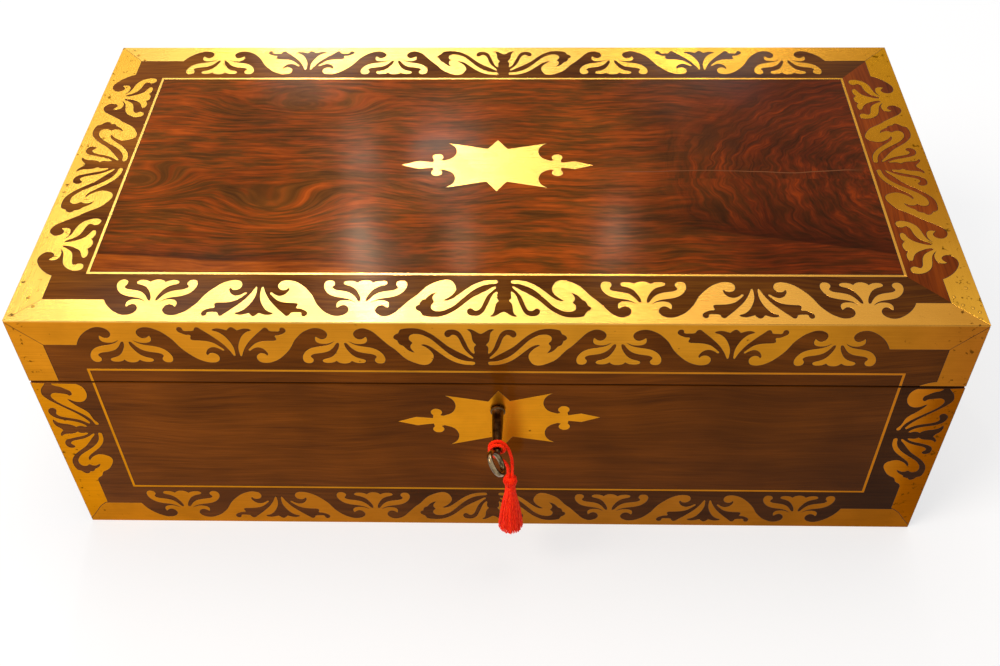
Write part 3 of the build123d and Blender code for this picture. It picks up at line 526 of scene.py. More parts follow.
def figured_rosewood():
    """The top's leaf: brown, with short orange flames along the box at the left and a few eyes. At the right
    the rippled rings of a knot stand across the box, over a dark line. A pale sapwood edge lies along the
    front, and a hairline crack runs from the middle to the right."""
    made, tree, place = material("french_polished_rosewood_top")
    x, y, _ = add(tree, "SeparateXYZ", [place]).node.outputs
    sway = add(tree, "TexNoise", {"Vector": place, "Scale": 1 / (80 * MM), "Detail": 3.0, "Roughness": 0.4})
    sway = add(tree, "Math", [sway, 0.5], operation="SUBTRACT")
    across = add(tree, "Math", [sway, 20 * MM, y], operation="MULTIPLY_ADD")
    for eye_x, eye_y, reach, rise in eyes:
        off = add(tree, "Mapping", {"Vector": place, "Location": (-0.5 * eye_x * MM, -eye_y * MM, 0),
                                    "Scale": (0.5, 1, 0)})
        near = add(tree, "VectorMath", [off], out="Value", operation="LENGTH")
        lift = add(tree, "MapRange", [near, reach * MM, 0.0, 0.0, rise * MM], interpolation_type="SMOOTHSTEP")
        across = add(tree, "Math", [across, lift], operation="ADD")
    off = add(tree, "Mapping", {"Vector": place, "Location": (-0.9 * knot_x * MM, -1.1 * knot_y * MM, 0),
                                "Scale": (0.9, 1.1, 0)})
    off_x, off_y, _ = add(tree, "SeparateXYZ", [off]).node.outputs
    turn = add(tree, "Math", [off_y, off_x], operation="ARCTAN2")
    turn = add(tree, "Math", [turn, 80 * MM], operation="MULTIPLY")
    rings = add(tree, "VectorMath", [off], out="Value", operation="LENGTH")
    ripple = add(tree, "TexNoise", {"Vector": place, "Scale": 1 / (11 * MM), "Detail": 1.0})
    for wave, size in ((sway, 34), (ripple, 9)):
        rings = add(tree, "Math", [wave, size * MM, rings], operation="MULTIPLY_ADD")
    over = {}
    for name, (height, slope) in figure_lines.items():
        line = add(tree, "Math", [x, -slope, y], operation="MULTIPLY_ADD")
        line = add(tree, "Math", [sway, 9 * MM, line], operation="MULTIPLY_ADD")
        over[name] = add(tree, "Math", [line, height * MM], operation="SUBTRACT")
    inside = add(tree, "MapRange", [rings, knot_reach * MM, (knot_reach - 40) * MM],
                 interpolation_type="SMOOTHSTEP")
    above = add(tree, "MapRange", [over["dark"], -2 * MM, 9 * MM])
    knot = add(tree, "Math", [inside, above], operation="MULTIPLY")
    figures = []
    for long_sizes, ring_sizes in ((((34, 5.0, 0.5), (15, 2.2, 0.5)), ((24, 5.5, 0.5), (12, 2.6, 0.5))),
                                   (((40, 0.8, 0.5), (95, 1.8, 0.5)), ((50, 1.0, 0.5), (110, 2.2, 0.5)))):
        figures.append(add(tree, "Mix", {"Factor_Float": knot, "A_Float": fibres(tree, x, across, long_sizes),
                                         "B_Float": fibres(tree, turn, rings, ring_sizes)},
                           out="Result_Float"))
    flames, figure = figures
    flame = add(tree, "ValToRGB", [flames], stops=spread(("4C2A0A", "5C320C", "7E380A", "94420E"), 0.17))
    pale = add(tree, "ValToRGB", [flames], stops=spread(("743206", "A4500E"), 0.15))
    red = add(tree, "ValToRGB", [flames], stops=spread(("361804", "441C04", "582005", "702904"), 0.18))
    # Towards the right the leaf turns to darker, redder tones: partly the wood's own colour, partly painted
    # shade deepening to the right
    right = add(tree, "MapRange", [x, 55 * MM, 150 * MM])
    left = add(tree, "MapRange", [x, -20 * MM, -110 * MM])
    under = add(tree, "MapRange", [over["pale"], 0.8 * MM, -0.8 * MM])
    under = add(tree, "Math", [under, left], operation="MULTIPLY")
    tone = flame
    for share, other in ((right, red), (under, pale)):
        tone = add(tree, "Mix", {"Factor_Float": share, "A_Color": tone, "B_Color": other},
                   out="Result_Color", data_type="RGBA")
    # Each line has a dark zone over it that thins upwards
    for name, deep, side in (("pale", 11 * MM, left), ("dark", 30 * MM, right)):
        zone = add(tree, "MapRange", [over[name], 0.5 * MM, deep, 0.5, 1.0])
        beyond = add(tree, "MapRange", [over[name], 0.3 * MM, -1.5 * MM])
        zone = add(tree, "Math", [zone, beyond], operation="MAXIMUM")
        zone = add(tree, "Mix", {"Factor_Float": side, "A_Float": 1.0, "B_Float": zone}, out="Result_Float")
        tone = shaded(tree, tone, zone)
    fine = add(tree, "MapRange", [figure, 0.36, 0.6, 0.66, 1.12])
    tone = shaded(tree, shaded(tree, tone, fine), patches(tree, place))
    # The crack is a hair wide; it is drawn at 0.35 mm, so that it shows
    crack = add(tree, "Math", [sway, 14 * MM, y], operation="MULTIPLY_ADD")
    crack = add(tree, "Math", [crack, crack_y * MM, 0.35 * MM], operation="COMPARE")
    for edge, beyond in ((crack_from, crack_from + 12), (crack_to, crack_to - 12)):
        kept = add(tree, "MapRange", [x, edge * MM, beyond * MM])
        crack = add(tree, "Math", [crack, kept], operation="MULTIPLY")
    tone = add(tree, "Mix", {"Factor_Float": crack, "A_Color": tone, "B_Color": "6A3E24"}, out="Result_Color",
               data_type="RGBA")
    french_polish(tree, place, tone, figure)
    return made


top_wood = figured_rosewood()
# The last pair of each leaf is painted light: brighter at the left end, painted shade at the right
band_wood = rosewood("banding", ("3A1C06", "4E280A", "60360C", "704210"), 0, (1.45, 0.62))
red_wood = rosewood("red_banding", ("461A03", "5E2605", "703006", "803C0A"), 1)
front_wood = rosewood("front", ("4E2606", "623208", "703A0A", "7E420C"), 0, (1.1, 0.5))
front_bands = {"lid": rosewood("lid_banding", ("4C2606", "5E3008", "6E3A0A", "7C420E"), 0, (1.1, 0.6)),
               "base": rosewood("base_banding", ("3A1E05", "482407", "542C09", "62360C"), 0, (1.7, 0.4))}
plain_tones = ("2A1208", "46200E", "642F14", "824020")
side_wood = rosewood("sides", plain_tones, 1)
back_wood = rosewood("back", plain_tones, 0)


def finish_nodes(finish, *names):
    """Give CAD pieces a finish."""
    for name in names:
        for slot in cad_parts[name].material_slots:
            slot.material = finish


def leaf(name, outlines, face, wood, body, node):
    """Lay one leaf of veneer."""
    belongs(plate("rosewood_" + name, [outlines], wood_thickness, face), wood, body, "rosewood", node)


reach_x = half_x - edge_cover
reach_y = half_y - edge_cover
leaf("top_leaf", [rectangle(-string_x, -string_y, string_x, string_y)], ON_TOP, top_wood, "lid",
     "lid_top_veneer")
outer = {(side_x, side_y): (side_x * reach_x, side_y * reach_y) for side_x in (-1, 1) for side_y in (-1, 1)}
inner = {(side_x, side_y): (side_x * string_x, side_y * string_y) for side_x, side_y in outer}
for name, start, end, wood in (("front", (-1, -1), (1, -1), band_wood), ("back", (-1, 1), (1, 1), band_wood),
                               ("left", (-1, 1), (-1, -1), band_wood), ("right", (1, -1), (1, 1), red_wood)):
    leaf("top_band_" + name, [cornered([outer[start], outer[end], inner[end], inner[start]])], ON_TOP, wood,
         "lid", "lid_top_veneer")
for body, holes, cut, string_z, edge_z in (("lid", [], lid_cut, lid_string_z, top_z - veneer),
                                           ("base", [keyhole()], base_cut, base_string_z, edge_cover)):
    low, high = sorted((cut, string_z))
    leaf(body + "_front", [rectangle(-string_x, low, string_x, high)] + holes, ON_FRONT, front_wood, body,
         body + "_front_veneer")
    band = [(-reach_x, edge_z), (reach_x, edge_z), (reach_x, cut), (string_x, cut), (string_x, string_z),
            (-string_x, string_z), (-string_x, cut), (-reach_x, cut)]
    leaf(body + "_front_band", [cornered(band)], ON_FRONT, front_bands[body], body, body + "_front_veneer")
finish_nodes(side_wood, "base_side_veneers", "lid_side_veneers")
finish_nodes(back_wood, "base_back_veneer", "lid_back_veneer")

# Cut-brass borders: 1 mm sheet brass, fret-sawn to scrolls, palmettes and leaves and inlaid in the rosewood.
# Each strip is solid along its outer edge and mitred at the corners. Dark mastic fills the saw cut round it.
# The half motifs are drawn in mm: distance from the motif's axis, and depth from the strip's edge.
JUNCTION = [(14.4, 4.8), (16.9, 6), (19.4, 7.7), (21.9, 10), (23.9, 12.5), (25.4, 15), (26.5, 17.4)]
PALMETTE = [
    (11.9, 4.5), (9.4, 5.2), (7.6, 6.7), (6.8, 8.7), (7.2, 10.7), (8.4, 12.2), (9.9, 12.7), (11.4, 12.1),
    (12.5, 11.1), (13.1, 10.7, SHARP), (13.5, 12.5), (13.3, 14.2), (12.4, 15.4), (10.9, 16.1), (8.9, 16.3),
    (6.9, 16), (4.9, 15), (3.7, 14.2, SHARP), (4.9, 15.5), (7.4, 17.1), (10.4, 18), (13.4, 18.6),
    (15.9, 19.4), (18.1, 20.7), (19.9, 22.6), (21.1, 24.7), (21.7, 26.9), (21.6, 29.1), (20.6, 30.8),
    (18.9, 31.3), (17.2, 30.8), (16.2, 29.4), (16.3, 27.8), (17, 26.7), (17.2, 25.8), (16.6, 24.9),
    (15.2, 24.1), (13, 23.6), (10.2, 23), (7.5, 21.9), (5.6, 20.3), (4.1, 18.3), (3.2, 16.7), (2.4, 15.6),
    (1.6, 15.5), (1.4, 16.6), (1.7, 18.4), (2.3, 20.2), (3.1, 21.9), (4.4, 24.2), (6.2, 26.1), (8.3, 27.3),
    (10.4, 28.1), (11.4, 29), (11.2, 30.1), (10.1, 30.8), (8.2, 31), (6.2, 30.7), (4.8, 30),
    (4, 29.4, SHARP), (3.2, 30.4), (1.8, 31.2), (0, 31.5)]
FAN = [
    (41.5, 4.8), (39, 6), (36.3, 7.9), (34, 10.5), (31.8, 13.5), (30.3, 16.5), (28.8, 19.5), (26.8, 22.5),
    (24.3, 25.5), (21.8, 28), (18.8, 30), (15.8, 31.1), (13.3, 31.2), (11.1, 30.4), (10, 28.7), (9.8, 26.7),
    (10.5, 25), (11.9, 23.9), (13.5, 23.7), (14.7, 24.3), (15.6, 25.5, SHARP), (16.1, 24.5), (15.6, 22.5),
    (14.5, 20.7), (13, 19.6), (11.3, 19.3), (9.6, 19.9), (8.1, 21), (7, 21.9), (6.4, 21.8, SHARP), (6.3, 21),
    (7.1, 20), (8.8, 18), (10.8, 16.1), (13.3, 14.9), (16.3, 14.3), (19.3, 14.1), (21.3, 13.9),
    (22.1, 13.4, SHARP), (22, 12), (21.6, 10.7), (22.1, 10, SHARP), (23.8, 9.9), (25.5, 9.1), (27.1, 8),
    (27.9, 6.7), (27.7, 5.2), (26.8, 4.3), (25.7, 4.4), (25.1, 5.2), (24.9, 6.5, SHARP), (24.1, 7.1),
    (22.3, 7.1), (20.3, 7), (19.3, 6.6, SHARP), (18.8, 5.3), (18, 4.4), (16.9, 4.5), (15.8, 5.6),
    (14.3, 7.2), (12.3, 9.3), (10.3, 11.6), (8.3, 14), (6.5, 16.5), (4.8, 19.5), (3.3, 22.7), (2.4, 25.2),
    (1.8, 26.3, SHARP), (1.3, 25.7), (1.1, 23.5), (1.1, 20.5), (1.6, 17.5), (2.6, 14.5), (4, 11.5), (5.8, 9),
    (7.8, 7.4), (9.4, 6.8), (10.1, 6.3, SHARP), (9.6, 5.7), (7.8, 5.1), (6, 5.2), (4.3, 5.8),
    (2.6, 6.5, SHARP), (1.6, 5.2), (0, 4.1)]
CREST = [
    (57.5, 5.3), (55, 7.2), (53, 9.8), (50.2, 13.7), (47.2, 17.6), (45.2, 19.7), (43.2, 22.4), (41.2, 25.4),
    (39.2, 27.8), (36.7, 29.6), (34.2, 31), (31.7, 32), (29.2, 32.1), (27.2, 31), (25.9, 29), (25, 26.5),
    (25, 24), (25.9, 21.8), (27.2, 19.9), (28.7, 18.3), (30.2, 17.2), (30.9, 16.7, SHARP), (29.9, 16.3),
    (28.2, 16.7), (26.2, 18), (24.2, 20), (22.2, 22.2), (20.2, 24.4), (17.7, 27), (15.2, 29), (12.2, 30.7),
    (9.2, 31.7), (6.2, 32), (4.4, 32), (3.5, 31.2), (3.6, 29.9), (4.7, 29.4), (7.2, 29.1), (10.2, 28.2),
    (13.2, 26.5), (15.7, 24.4), (18.2, 21.7), (20.7, 18.5), (23.2, 15.2), (25.4, 12.5), (28.2, 10.2),
    (30.7, 8.8), (33.2, 8.4), (35.2, 8.8), (36.6, 10.1), (37, 11.8), (36.6, 13.4), (35.6, 14.7),
    (35.4, 15.5, SHARP), (36.2, 16.5), (36.6, 18), (36.4, 19.5), (35.6, 21), (34.7, 22.6, SHARP), (36.2, 22),
    (37.9, 20.7), (39.2, 19), (40.3, 17.4), (41.8, 16.5), (42.6, 15), (43, 13.2, SHARP), (44, 12.6),
    (44.7, 11.7), (44.6, 10.2), (43.7, 9), (42.2, 8, SHARP), (41.6, 6.7), (41, 5.4), (39.7, 4.8),
    (37.2, 4.3), (34.7, 4.2), (32.2, 4.5), (29.7, 5.4), (27.2, 7), (24.7, 9), (22.2, 11.7), (19.7, 14.7),
    (17.2, 17.6), (14.2, 20.2), (11.2, 22.5), (8.2, 24.7), (5.7, 26.7), (4.4, 27.2, SHARP), (4.3, 26.2),
    (5.2, 25), (6.5, 23.3), (7.9, 21.2), (9, 19), (9.9, 16.5), (10.6, 14), (11.4, 11.5), (12.4, 9.8),
    (13.7, 8.9), (14.9, 9.1), (15.9, 10.2), (16.9, 10.7), (18, 10.1), (18.5, 8.7), (18.2, 7), (17.2, 5.7),
    (15.4, 5.1), (13.4, 5.2), (11.7, 6.1), (10.4, 7.7), (9.4, 10), (8.6, 12.5), (7.8, 15), (7.1, 17.5),
    (6.2, 20), (5.1, 22.1), (3.9, 23.3, SHARP), (3.5, 22.7), (3.6, 21), (3.7, 19), (3.3, 17.5),
    (2.6, 16.7, SHARP), (2.9, 15.8), (3.7, 14.7), (4.3, 13), (4.6, 10.7), (4.8, 8.5), (5.4, 6.7), (6.2, 5.7),
    (7, 5, SHARP), (5.9, 4.6), (4.4, 5.1), (2.7, 6.3), (1.3, 7.5), (0, 8.2, SHARP)]
END_SCROLLS = [
    (7.8, 129, SHARP), (6.3, 127), (4.8, 125), (3.8, 122.5), (3.5, 120), (4.3, 117.8), (6, 115.4),
    (8.5, 112.8), (11.5, 110), (14.5, 107.3), (17.5, 104.6), (20, 102), (22, 99.5), (23.5, 97), (24, 95.6),
    (23.3, 94.7, SHARP), (22.3, 95.4), (20.8, 96.7), (18.8, 97.9), (16, 98.9), (13, 99.6), (10, 100.4),
    (7.8, 101.5), (6.8, 103), (7, 104.5), (7.6, 106), (7.2, 107.7), (5.8, 108.3), (4.2, 107.6), (3, 105.8),
    (2.9, 103.7), (3.8, 101.5), (5.5, 99.8), (8, 98.5), (11, 97.7), (14, 97), (17, 96), (19.5, 94.6),
    (21, 93), (21.5, 92.2, SHARP), (20.3, 91.9), (18.5, 92.6), (16.5, 92.4), (14.9, 91.6, SHARP), (13.5, 93),
    (11, 94), (8, 94.6), (5.5, 95.6), (4.2, 97.2), (3.4, 98.2, SHARP), (2.9, 96.5), (3.2, 94), (4.2, 92),
    (5.8, 90.3), (6, 89.8)]
END_ISLAND = [
    (11, 129, SHARP), (25, 128.8, SHARP), (27.6, 126.5), (28.7, 122.5), (28.4, 119), (27, 116), (24.7, 114),
    (22, 113.6), (19.5, 114.4), (17.8, 115.6), (16.6, 116, SHARP), (17.3, 114.5), (19, 112), (21.5, 109),
    (24, 106.5), (25.6, 104), (26.3, 101), (27, 98), (28.2, 96), (28.7, 94.8), (27.8, 93.6), (26.8, 94),
    (26, 96.5), (25, 99), (23.2, 101.6), (20.5, 104.3), (17.5, 107), (14.5, 109.5), (11.7, 112),
    (9.5, 114.5), (8.2, 117), (8.1, 119), (9.2, 120.5), (11, 121.2), (13.5, 120.9), (16, 120.5),
    (17.7, 120, SHARP), (18.3, 119.2), (19.2, 119), (20.2, 120), (20.3, 121.5), (19.8, 123), (18.5, 124),
    (17, 125.2), (15, 126.3), (12.8, 127), (11.4, 128)]
MOTIFS = {"palmette": (PALMETTE, 11.9), "fan": (FAN, 44.0), "crest": (CREST, 60.1)}
RUNS = {7: ("palmette", "fan", "palmette", "crest", "palmette", "fan", "palmette"),
        3: ("palmette", "crest", "palmette")}
foot_slope = 0.45
length_mm = 508
depth_mm = 258
top_mm = 178
mitre_gap = 0.12
brass_edge = 0.06 * MM
mastic_width = 0.5 * MM
mastic_flat = 0.3


def fret_line(centres, length, solid, inner):
    """The inner edge of one strip, in mm along it and mm deep, from its left corner to its right one. Its
    motifs stand at the centres, and each of its corners lies the inner distance from its end."""
    hook = [point for point in JUNCTION if point[1] < solid - 0.5]
    foot = hook[-1][0] + foot_slope * (solid - hook[-1][1])
    line = [(inner, solid, SHARP), (centres[0] - foot, solid, SHARP)]
    line += [(centres[0] - along, deep) for along, deep in reversed(hook)]
    run = RUNS[len(centres)]
    for index, centre in enumerate(centres):
        half, reach = MOTIFS[run[index]]
        left, right = 1.0, 1.0
        if index > 0:
            left = (centre - centres[index - 1]) / (reach + MOTIFS[run[index - 1]][1])
        if index < len(centres) - 1:
            right = (centres[index + 1] - centre) / (reach + MOTIFS[run[index + 1]][1])
        line += [(centre - along * left, *rest) for along, *rest in half]
        line += [(centre + along * right, *rest) for along, *rest in reversed(half[:-1])]
    line += [(centres[-1] + along, deep) for along, deep in hook]
    return line + [(centres[-1] + foot, solid, SHARP), (length - inner, solid, SHARP)]


def moved(outline, change):
    """Apply a change to the two coordinates of each point, and turn mm into metres."""
    made = []
    for x, y, *kind in outline:
        x, y = change(x, y)
        made.append((x * MM, y * MM, *kind))
    return made


def sheet_brass(name, along, rough, painted_falloff):
    """Sheet brass, rolled, inlaid and rubbed flat along the strip, with two centuries of handling: a warm
    mirror softened by fine rub marks, with duller patches, small dents and specks of tarnish, more of them
    near the corners. The last argument is the colour along the strip, as (place in mm, colour); where it
    darkens along the strip, that is painted shade."""
    made, tree, place = material(name)
    parts = add(tree, "SeparateXYZ", [place]).node.outputs
    start = painted_falloff[0][0]
    span = painted_falloff[-1][0] - start
    where = add(tree, "MapRange", [parts[along], start * MM, (start + span) * MM])
    # Painted shade: the brass darkens along the strip, most towards its right end
    tone = add(tree, "ValToRGB", [where], stops=[((at - start) / span, code) for at, code in painted_falloff])
    # Real rub marks are some 20 microns wide; these are drawn at 0.5 mm, so that they show
    mark = 0.5 * MM
    stretch = [1 / mark] * 3
    stretch[along] = 1 / (90 * mark)
    laid = add(tree, "Mapping", {"Vector": place, "Scale": stretch})
    marks = add(tree, "TexNoise", {"Vector": laid, "Scale": 1.0, "Detail": 2.0, "Roughness": 0.6})
    cloud = add(tree, "TexNoise", {"Vector": place, "Scale": 1 / (26 * MM), "Detail": 3.0, "Roughness": 0.55})
    worn = add(tree, "Mix", {"Factor_Float": 0.45, "A_Float": cloud, "B_Float": marks}, out="Result_Float")
    tone = shaded(tree, tone, add(tree, "MapRange", [worn, 0.36, 0.64, 0.84, 1.1]))
    speck = add(tree, "TexNoise", {"Vector": place, "Scale": 1 / (4.5 * MM), "Detail": 3.0, "Roughness": 0.7})
    corner = add(tree, "Math", [parts[0]], operation="ABSOLUTE")
    corner = add(tree, "MapRange", [corner, 225 * MM, 250 * MM, 0.0, 0.09])
    speck = add(tree, "Math", [speck, corner], operation="ADD")
    speck = add(tree, "MapRange", [speck, 0.7, 0.76, 0.0, 0.85])
    tone = add(tree, "Mix", {"Factor_Float": speck, "A_Color": tone, "B_Color": "4A2A0C"}, out="Result_Color",
               data_type="RGBA")
    dent = add(tree, "TexNoise", {"Vector": place, "Scale": 1 / (14 * MM), "Detail": 2.0})
    height = add(tree, "Math", [dent, 2.0, marks], operation="MULTIPLY_ADD")
    bump = add(tree, "Bump", {"Height": height, "Strength": 0.22, "Distance": 0.05 * MM})
    dull = add(tree, "MapRange", [worn, 0.36, 0.64, rough + 0.06, rough - 0.05])
    brass = add(tree, "BsdfPrincipled", {"Base Color": tone, "Metallic": 1.0, "Roughness": dull,
                                         "Specular Tint": "FFDC98", "Normal": bump})
    add(tree, "OutputMaterial", [brass])
    return made


def saw_cut_mastic():
    """Mastic of pitch and lampblack, rubbed into the saw cuts: a thin, matt dark line round the brass."""
    made, tree, place = material("pitch_mastic")
    grit = add(tree, "TexNoise", {"Vector": place, "Scale": 1 / (2 * MM), "Detail": 2.0})
    tone = add(tree, "ValToRGB", [grit], stops=[(0.3, "100604"), (0.7, "241008")])
    filler = add(tree, "BsdfPrincipled", {"Base Color": tone, "Roughness": 0.6, "Specular IOR Level": 0.2})
    add(tree, "OutputMaterial", [filler])
    return made


# Painted shade: each strip darkens towards its right end, the top's right strip is darker than its left, and
# the front's sheets are a darker, more orange copy of the top's brass, darkest on the bottom strip
sheets = {"top": (0, 0.27, [(-254, "F0BC5C"), (-60, "F0C46C"), (80, "DCA448"), (254, "B87E2E")]),
          "left": (1, 0.27, [(-129, "EEBA58"), (0, "E8B04A"), (129, "E8AE46")]),
          "right": (1, 0.27, [(-129, "D09832"), (-20, "9E661E"), (129, "B07A26")]),
          "lid_front": (0, 0.34, [(-254, "D0841E"), (0, "CC8824"), (150, "C0801F"), (254, "9C5C1C")]),
          "front": (0, 0.34, [(-254, "D28416"), (-40, "C07E1E"), (228, "B86E1C"), (242, "904C0A"),
                              (254, "8A480A")]),
          "bottom": (0, 0.36, [(-254, "C67C20"), (-130, "B87022"), (0, "A66624"), (120, "9E6022"),
                               (254, "92541A")]),
          "keyhole": (0, 0.34, [(-60, "DC901E"), (60, "D48A1C")])}
sheet = {name: sheet_brass("rubbed_sheet_brass_" + name, *look) for name, look in sheets.items()}
mastic = saw_cut_mastic()


def inlay(name, pieces, face, brass, body, node):
    """Lay pieces of brass in a face, with the mastic line round each. The line is a flattened thread that
    lies on the outline in the wood's surface, half of it under the brass."""
    belongs(plate(name, pieces, veneer, face, edge=brass_edge), brass, body, "inlay_brass", node)
    curve = drawn(name + "_mastic", "3D", [outline for outlines in pieces for outline in outlines])
    curve.bevel_depth = mastic_width / 2
    curve.bevel_resolution = 0
    mesh = mesh_from(curve)
    mesh.transform(face @ Matrix.Translation((0, 0, wood_thickness))
                   @ Matrix.Diagonal((1, 1, mastic_flat, 1)))
    belongs(put(name + "_mastic", mesh), mastic, body, "inlay_brass", node)


edge_line = 16
top_strips = {
    "front": ([75, 130, 186, 260, 333, 392, 448], length_mm, sheet["top"],
              lambda along, deep: (along - length_mm / 2, deep - depth_mm / 2)),
    "back": ([70, 128, 185, 256, 327, 385, 440], length_mm, sheet["top"],
             lambda along, deep: (along - length_mm / 2, depth_mm / 2 - deep)),
    "left": ([60, 131, 200], depth_mm, sheet["left"],
             lambda along, deep: (deep - length_mm / 2, along - depth_mm / 2)),
    "right": ([60, 131, 198.3], depth_mm, sheet["right"],
              lambda along, deep: (length_mm / 2 - deep, along - depth_mm / 2)),
}
for name, (centres, length, brass, change) in top_strips.items():
    line = fret_line(centres, length, edge_line, edge_line + mitre_gap)
    outline = moved([(length - mitre_gap, 0, SHARP), (mitre_gap, 0, SHARP)] + line, change)
    inlay("fret_top_" + name, [[outline]], ON_TOP, brass, "lid", "lid_top_border_" + name)

# Brass pins: round wire, driven through the strips' corners where the glue had let go, and filed nearly
# flush. They show as small domes with a dark ring. Their places are in mm from the middle of the top.
pins = [(240.4, -108.4), (243.6, -114.3), (248.4, -101.5), (248.1, -116.5), (250.9, -119.4), (250.1, -124.4),
        (-245.5, -112.0), (-241.0, -118.5), (-241.5, 119.5), (-236.0, 114.0)]
pin_profile = [(0, 0.12), (0.4, 0.1), (0.8, 0.02), (0.8, -0.4), (0, -0.4)]
ring_profile = [(0, 0.015), (1.0, 0.015), (1.0, -0.4), (0, -0.4)]
for title, profile, finish in (("corner_pins", pin_profile, sheet["right"]),
                               ("corner_pin_rings", ring_profile, mastic)):
    joined = bmesh.new()
    for x, y in pins:
        spot = mesh_of(title, lathe(profile, (x * MM, y * MM, top_z), (0, 0, 1), 16), sharp=0)
        joined.from_mesh(spot)
        bpy.data.meshes.remove(spot)
    belongs(put(title, mesh_of(title, joined)), finish, "lid", "inlay_brass")

# Lid front: the same fret-sawn sheet brass, inlaid in the front's rosewood: one strip under the top edge and
# a short tab at each end, which the parting cuts off.
lid_solid = 18.2
strip_top = 1
tab_inner = 16.2
tab_low = 131.25
lid_centres = [60.8, 118.5, 174.8, 248.1, 320, 379.6, 434]


def from_left(x, z):
    return x - length_mm / 2, z


line = fret_line(lid_centres, length_mm, lid_solid, tab_inner)
lid_strip = moved([(length_mm - mitre_gap, strip_top, SHARP), (mitre_gap, strip_top, SHARP)] + line,
                  lambda along, deep: from_left(along, top_mm - deep))
tab = [(0, 176.6), (tab_inner - 0.2, 159.65), (tab_inner, 134.6)]
left_tab = moved(cornered(tab + [(tab_inner, tab_low), (0, tab_low)]), from_left)
right_tab = moved(cornered(tab) + [(19, 134), (22.5, 132.6), (25, tab_low, SHARP), (0, tab_low, SHARP)],
                  lambda x, z: (length_mm / 2 - x, z))
inlay("fret_lid_front", [[lid_strip], [left_tab], [right_tab]], ON_FRONT, sheet["lid_front"], "lid",
      "lid_front_border")

# Base front: sheet brass again, a fretted strip along the bottom and one up each end, inlaid in the same way.
# The parting cuts off the upper scroll of each end.
base_solid = 18.6
bottom_inner = 13.2
end_solid = 14.5
end_axis = 89.8
end_along = 0.93
end_deep = 0.88
crest_from = 6
base_centres = [62.4, 121.2, 179.7, 252, 323, 381.8, 436.3]


def mirrored(outline):
    return [(-x, y, *kind) for x, y, *kind in outline]


line = fret_line(base_centres, length_mm, base_solid, bottom_inner)
mitre = [(9.2, 15), (5.2, 9), (0.2, 2), (0.2, 0)]
base_strip = moved(cornered(mitre[::-1]) + line + cornered([(length_mm - x, z) for x, z in mitre]), from_left)
end_strip = cornered([(0, 2.2), (5, 9.2), (9, 15.2), (12.9, 18.9), (end_solid, 19.5), (end_solid, 42)])
end_strip += [(15.6, 44), (18, 46)]
end_strip += [(deep * end_deep, end_axis - along * end_along, *kind) for along, deep, *kind
              in CREST[crest_from:-1]]
end_strip = moved(end_strip + END_SCROLLS[::-1] + [(0, 129.5, SHARP)], from_left)
island = moved(END_ISLAND, from_left)
inlay("fret_base_bottom", [[base_strip]], ON_FRONT, sheet["bottom"], "base", "base_front_border")
inlay("fret_base_ends", [[end_strip], [mirrored(end_strip)], [island], [mirrored(island)]], ON_FRONT,
      sheet["front"], "base", "base_front_border")

# Stringing: square brass wire, 1.5 mm wide, let into a scratched groove and mitred at the corners. It makes a
# full frame on the top, and two open frames on the front that the parting cuts apart.
string_half = 0.75 * MM


def frame_bars(x, low, high, cut_low=None, cut_high=None, half=string_half):
    """The bars of a mitred frame. A frame that is cut at the low or high end has no bar there."""
    near, far = x - half, x + half
    bottom = (low - half, low + half) if cut_low is None else (cut_low, cut_low)
    top = (high + half, high - half) if cut_high is None else (cut_high, cut_high)
    side = [(far, bottom[0]), (near, bottom[1]), (near, top[1]), (far, top[0])]
    bars = [side, mirrored(side)]
    for cut, place in ((cut_low, bottom), (cut_high, top)):
        if cut is None:
            bars.append([(-far, place[0]), (far, place[0]), (near, place[1]), (-near, place[1])])
    return [[cornered(bar)] for bar in bars]


inlay("stringing_top", frame_bars(string_x, -string_y, string_y), ON_TOP, sheet["top"], "lid",
      "lid_top_stringing")
inlay("stringing_lid_front", frame_bars(string_x, 0, lid_string_z, cut_low=lid_cut), ON_FRONT, sheet["front"],
      "lid", "lid_front_stringing")
inlay("stringing_base_front", frame_bars(string_x, base_string_z, 0, cut_high=base_cut), ON_FRONT,
      sheet["front"], "base", "base_front_stringing")

# Centre ornaments: a bat-winged cartouche of sheet brass on the lid, and its twin as the keyhole plate, which
# is set a little askew. One quarter is drawn and mirrored.
cartouche_quarter = [
    (0, 24.3, SHARP), (6, 15.5, SHARP), (29.5, 21.2, SHARP), (26.2, 18.4), (24.5, 14.2), (24.8, 10.4),
    (27, 6.6), (31.8, 4.1, SHARP), (33.5, 4.7, SHARP), (32.3, 7.1), (33.4, 9.5), (35.5, 10.3), (37.7, 9.5),
    (38.7, 7.1), (37.5, 4.7, SHARP), (38, 2.4, SHARP), (46.2, 3.7, SHARP), (56.7, 0, SHARP)]
cartouche_y = 2.2
plate_x = 2.6
plate_z = 100.9
plate_tilt = math.radians(2.4)
plate_aside = 1.0
body_reach = 40


def cartouche(x, y, tilt=0.0, aside=0.0):
    """The whole outline, turned about its centre and put at (x, y) mm. Its body lies a little to one side."""
    upper = cartouche_quarter + [(px, -py, *kind) for px, py, *kind in cartouche_quarter[-2::-1]]
    whole = [(px + aside * (abs(px) < body_reach), *rest) for px, *rest in upper + mirrored(upper[-2:0:-1])]
    return moved(whole, lambda px, py: (x + px * math.cos(tilt) - py * math.sin(tilt),
                                        y + px * math.sin(tilt) + py * math.cos(tilt)))


inlay("cartouche_top", [[cartouche(0, cartouche_y)]], ON_TOP, sheet["top"], "lid", "lid_cartouche")
inlay("keyhole_plate", [[cartouche(plate_x, plate_z, plate_tilt, plate_aside), keyhole()]], ON_FRONT,
      sheet["keyhole"], "base", "key_escutcheon")


